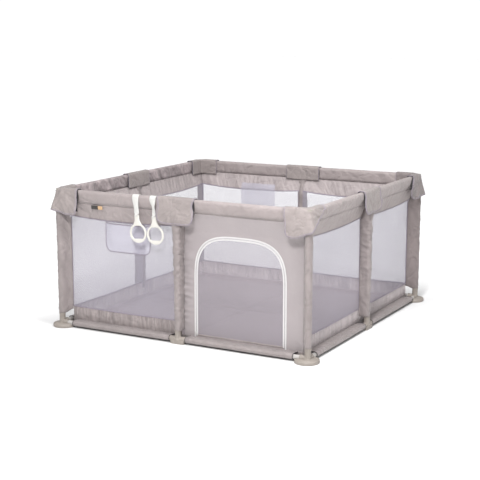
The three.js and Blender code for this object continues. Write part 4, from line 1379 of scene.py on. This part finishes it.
def puffed(piece, held, frames=18, farthest=0.005):
    """Blow the cloth up between its held seams and keep the shape it takes."""
    group = piece.vertex_groups.new(name="held")
    group.add([int(i) for i in held], 1.0, "REPLACE")
    start = coordinates(piece.data)
    sim = piece.modifiers.new("puff", "CLOTH")
    sim.settings.quality = 5
    sim.settings.mass = 0.25
    sim.settings.tension_stiffness = sim.settings.compression_stiffness = 12
    sim.settings.shear_stiffness = 6
    sim.settings.bending_stiffness = 0.15
    sim.settings.shrink_min = sim.settings.shrink_max = -0.018
    sim.settings.use_pressure = True
    sim.settings.uniform_pressure_force = 3.0
    sim.settings.vertex_group_mass = "held"
    sim.settings.effector_weights.gravity = 0
    sim.collision_settings.use_collision = False
    for number in range(1, frames + 1):
        bpy.context.scene.frame_set(number)
    moved = coordinates(piece.evaluated_get(bpy.context.evaluated_depsgraph_get()).data)
    piece.modifiers.remove(sim)
    bpy.context.scene.frame_set(1)
    shift = np.clip(moved - start, -farthest, farthest)
    piece.data.vertices.foreach_set("co", (start + shift).ravel())
    piece.data.update()


points, faces = mat_mesh()
mat = build("mat", points * MM, faces, mat_cloth)
count = MAT_CELLS * MAT_CELLS
x, y, _ = points[:count].T
held = np.nonzero((to_seam(x, y) < 5) | (mat_rim(x, y) < 9))[0]
puffed(mat, np.concatenate([held, np.arange(count, 2 * count)]))
# the mat's soft rim rides up the foot of the walls
risen = coordinates(mat.data)
from_wall = np.clip(MAT_HALF - np.abs(risen[:, :2]).max(axis=1) / MM, 0, None)
risen[:, 2] += MAT_RISE * MM * smoothstep(-from_wall, -64, 6) ** 1.3
mat.data.vertices.foreach_set("co", risen.ravel())
mat.data.update()
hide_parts("floor_mat")


# ---------------------------------------------------------------- straps and rings

EYE_OUT, EYE_Z = 700.5, 604.0
LOOP_R = SLEEVE_R + 2.1
RING_R, RING_HOLE, RING_Z = 47.5, 36.5, 518
GRIP = -37 * math.sin(math.radians(50)) + 2  # height of the flat grip under the ring's middle
RING_TILT = math.radians(4.5)
# where each strap hangs, half its width at the rail and lower down, and how far it is cupped
STRAPS = {"left": (-213.0, 17.5, 13.0, 0.0), "right": (-116.0, 17.0, 9.6, 0.55)}


def strap_grid(x0, top_half, low_half, twist):
    """Over the rail, down the front and round the ring's eye."""
    path = []
    for angle in np.radians(np.linspace(128, 0, 18)):
        path.append((SPAN + LOOP_R * math.cos(angle), RAIL_Z + LOOP_R * math.sin(angle)))
    down = zip(np.linspace(0, 1, 18)[1:], np.linspace(RAIL_Z, 615, 18)[1:])
    path += [(SPAN + LOOP_R + 1.1 * t, z) for t, z in down]
    for angle in np.radians(np.linspace(60, -205, 22)):
        path.append((EYE_OUT + 6.6 * math.cos(angle), EYE_Z + 6.6 * math.sin(angle)))
    rows = []
    for _, out, up in resampled(np.column_stack([np.zeros(len(path)), path]), 3.0):
        on_loop = float(smoothstep(up, 614, 609)) if out > 690 or up < 612 else 0.0
        half = top_half + (low_half - top_half) * float(smoothstep(up, 690, 640))
        half = half + (7.4 - half) * on_loop
        cup = twist * math.sin(math.pi * float(smoothstep(up, 684, 612))) if out > SPAN + 8 else 0.0
        lean = -9.0 * float(smoothstep(up, 606, 690))
        t = np.linspace(-1, 1, 11)
        roll = 1.2 * (1 - t * t) * (1 - on_loop) * float(smoothstep(up, 690, 670))
        along = x0 + lean + t * half * math.cos(cup)
        rows.append(points_at(along, out + roll + t * half * math.sin(cup) * 0.55, up))
    return rows


for hand, facts in STRAPS.items():
    strap = sewn(f"strap_{hand}", strap_grid(*facts), webbing, "webbing", f"pull_strap_{hand}", thick=1.9,
                 body=f"strap_{hand}")


def ring_loop(x0):
    """A round ring whose inside has a flat grip at the bottom."""
    rows = []
    for angle in np.linspace(0, 2 * math.pi, 96, endpoint=False):
        c, s = math.cos(angle), math.sin(angle)
        outer = np.array([RING_R * c, RING_R * s])
        inner = np.array([RING_HOLE * c, RING_HOLE * s + 1])
        ear = 3.0 * math.exp(-(((abs(inner[0]) - 21) / 5) ** 2)) if s < 0 else 0.0
        inner[1] = max(inner[1], GRIP - ear * 0.2)
        middle, half = (inner + outer) / 2, (outer - inner) / 2
        for turn in np.linspace(0, 2 * math.pi, 14, endpoint=False):
            spot = middle + half * squarish(math.cos(turn), 0.75)
            out = EYE_OUT + 4.5 * squarish(math.sin(turn), 0.75)
            rows.append((x0 + spot[0], out, RING_Z + spot[1]))
    return rows, grid_faces(96, 14, True, True)


def ring_neck(x0):
    """From the eye down to the ring, flaring as it goes."""
    rows = []
    for level in np.linspace(0, 1, 16):
        z = 606.0 - level * 52
        half = 12.6 + 11.5 * float(smoothstep(z, 588, 554)) ** 1.4
        for turn in np.linspace(0, 2 * math.pi, 28, endpoint=False):
            across, thick = squarish(math.cos(turn), 0.5), squarish(math.sin(turn), 0.5)
            rows.append((x0 + half * across, EYE_OUT + 4.3 * thick, z))
    return rows, closed_faces(16, 28)


def tilted(points, x0, angle):
    """Turned about the eye, in the plane of the ring."""
    p = np.array(points, float)
    dx, dz = p[:, 0] - x0, p[:, 2] - EYE_Z
    p[:, 0] = x0 + dx * math.cos(angle) - dz * math.sin(angle)
    p[:, 2] = EYE_Z + dx * math.sin(angle) + dz * math.cos(angle)
    return p


def eye_block(x0):
    """The block that cuts the strap's slot out of the neck."""
    square = ((-1, -1), (1, -1), (1, 1), (-1, 1))
    corners = [(x0 + sx * 8.5, EYE_OUT + sy * 12, z) for z in (590.0, 601.5) for sx, sy in square]
    return corners, closed_faces(2, 4)


def voxelled(piece, name, size=0.0009):
    remesh = piece.modifiers.new(name, "REMESH")
    remesh.mode, remesh.voxel_size = "VOXEL", size


for hand, (x0, _, _, _) in STRAPS.items():
    body = f"ring_{hand}"
    parts = []
    for points, faces in (ring_loop(x0), ring_neck(x0)):
        parts.append((tilted(points, x0, RING_TILT), faces))
    ring = joined(f"ring_plastic_{hand}", parts, ring_plastic, body=body)
    window = joined(f"window_{hand}", [eye_block(x0)], ring_plastic, body=body)
    voxelled(ring, "weld")
    cut = ring.modifiers.new("eye", "BOOLEAN")
    cut.operation, cut.solver, cut.object = "DIFFERENCE", "MANIFOLD", window
    voxelled(ring, "skin")
    soft = ring.modifiers.new("soft", "SMOOTH")
    soft.factor, soft.iterations = 0.5, 6
    made_real(ring)
    bpy.data.objects.remove(window)
    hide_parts(f"pull_ring_{hand}")


# ---------------------------------------------------------------- stage, light and camera


def floor_with_painted_shadow():
    """Pale and faintly glowing all over; painted darker and glowing less close to the pen, as a painted
    contact shadow.
    """
    made, tree, shader, where = start_material("floor_painted_shadow", 0.9, specular=0.0)
    x, y, _ = axes(tree, where)
    reach = math_node(tree, "MAXIMUM", math_node(tree, "ABSOLUTE", x), math_node(tree, "ABSOLUTE", y))
    away = ranged(tree, reach, 0.70, 1.20, curve="SMOOTHSTEP")
    tree.links.new(shades(tree, away, grey(0.79), grey(0.94), 0.0, 1.0), shader.inputs["Base Color"])
    shader.inputs["Emission Color"].default_value = grey(1)
    tree.links.new(math_node(tree, "MULTIPLY", away, 0.23), shader.inputs["Emission Strength"])
    return made


def studio():
    """A white backdrop near the floor under a dimmer ceiling."""
    world = bpy.data.worlds.new("studio")
    world.use_nodes = True
    tree = world.node_tree
    backdrop = tree.nodes["Background"]
    backdrop.inputs["Color"].default_value = grey(1)
    _, _, height = axes(tree, tree.nodes.new("ShaderNodeTexCoord").outputs["Generated"])
    tree.links.new(ranged(tree, height, 0.03, 0.16, 1.06, 0.36), backdrop.inputs["Strength"])
    return world


def area_light(name, where, target, size, power):
    lamp = bpy.data.lights.new(name, "AREA")
    lamp.shape, lamp.size, lamp.energy = "DISK", size, power
    light = bpy.data.objects.new(name, lamp)
    light.location = where
    light.rotation_euler = (Vector(target) - Vector(where)).to_track_quat("-Z", "Y").to_euler()
    bpy.context.scene.collection.objects.link(light)


floor_mesh = bpy.data.meshes.new("floor")
floor_mesh.from_pydata([(-40, -40, 0), (40, -40, 0), (40, 40, 0), (-40, 40, 0)], [], [(0, 1, 2, 3)])
floor_mesh.materials.append(floor_with_painted_shadow())
floor = bpy.data.objects.new("floor", floor_mesh)
bpy.context.scene.collection.objects.link(floor)
floor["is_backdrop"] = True

bpy.context.scene.world = studio()
area_light("key", (1.3, -3.7, 3.0), (0.2, 0, 0.35), 0.6, 116)
area_light("side", (2.0, -1.6, 1.3), (0.66, -0.4, 0.45), 0.4, 7)
area_light("inside", (0.9, -0.9, 2.3), (-0.3, 0.8, 0.6), 0.6, 28)
overhead = bpy.data.lights.new("overhead", "SUN")
overhead.energy, overhead.angle = 1.5, math.radians(70)
overhead_lamp = bpy.data.objects.new("overhead", overhead)
overhead_lamp.rotation_euler = (math.radians(12), 0, 0)
bpy.context.scene.collection.objects.link(overhead_lamp)

lens = bpy.data.cameras.new("camera")
lens.lens, lens.sensor_width = 87.2, 36
camera = bpy.data.objects.new("camera", lens)
camera.location = (2.834, -5.236, 1.512)
camera.rotation_euler = (math.radians(79.31), 0, math.radians(28.75))
bpy.context.scene.collection.objects.link(camera)
bpy.context.scene.camera = camera
bpy.context.scene.view_settings.view_transform = "Standard"
bpy.context.scene.cycles.transparent_max_bounces = 24

low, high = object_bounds()
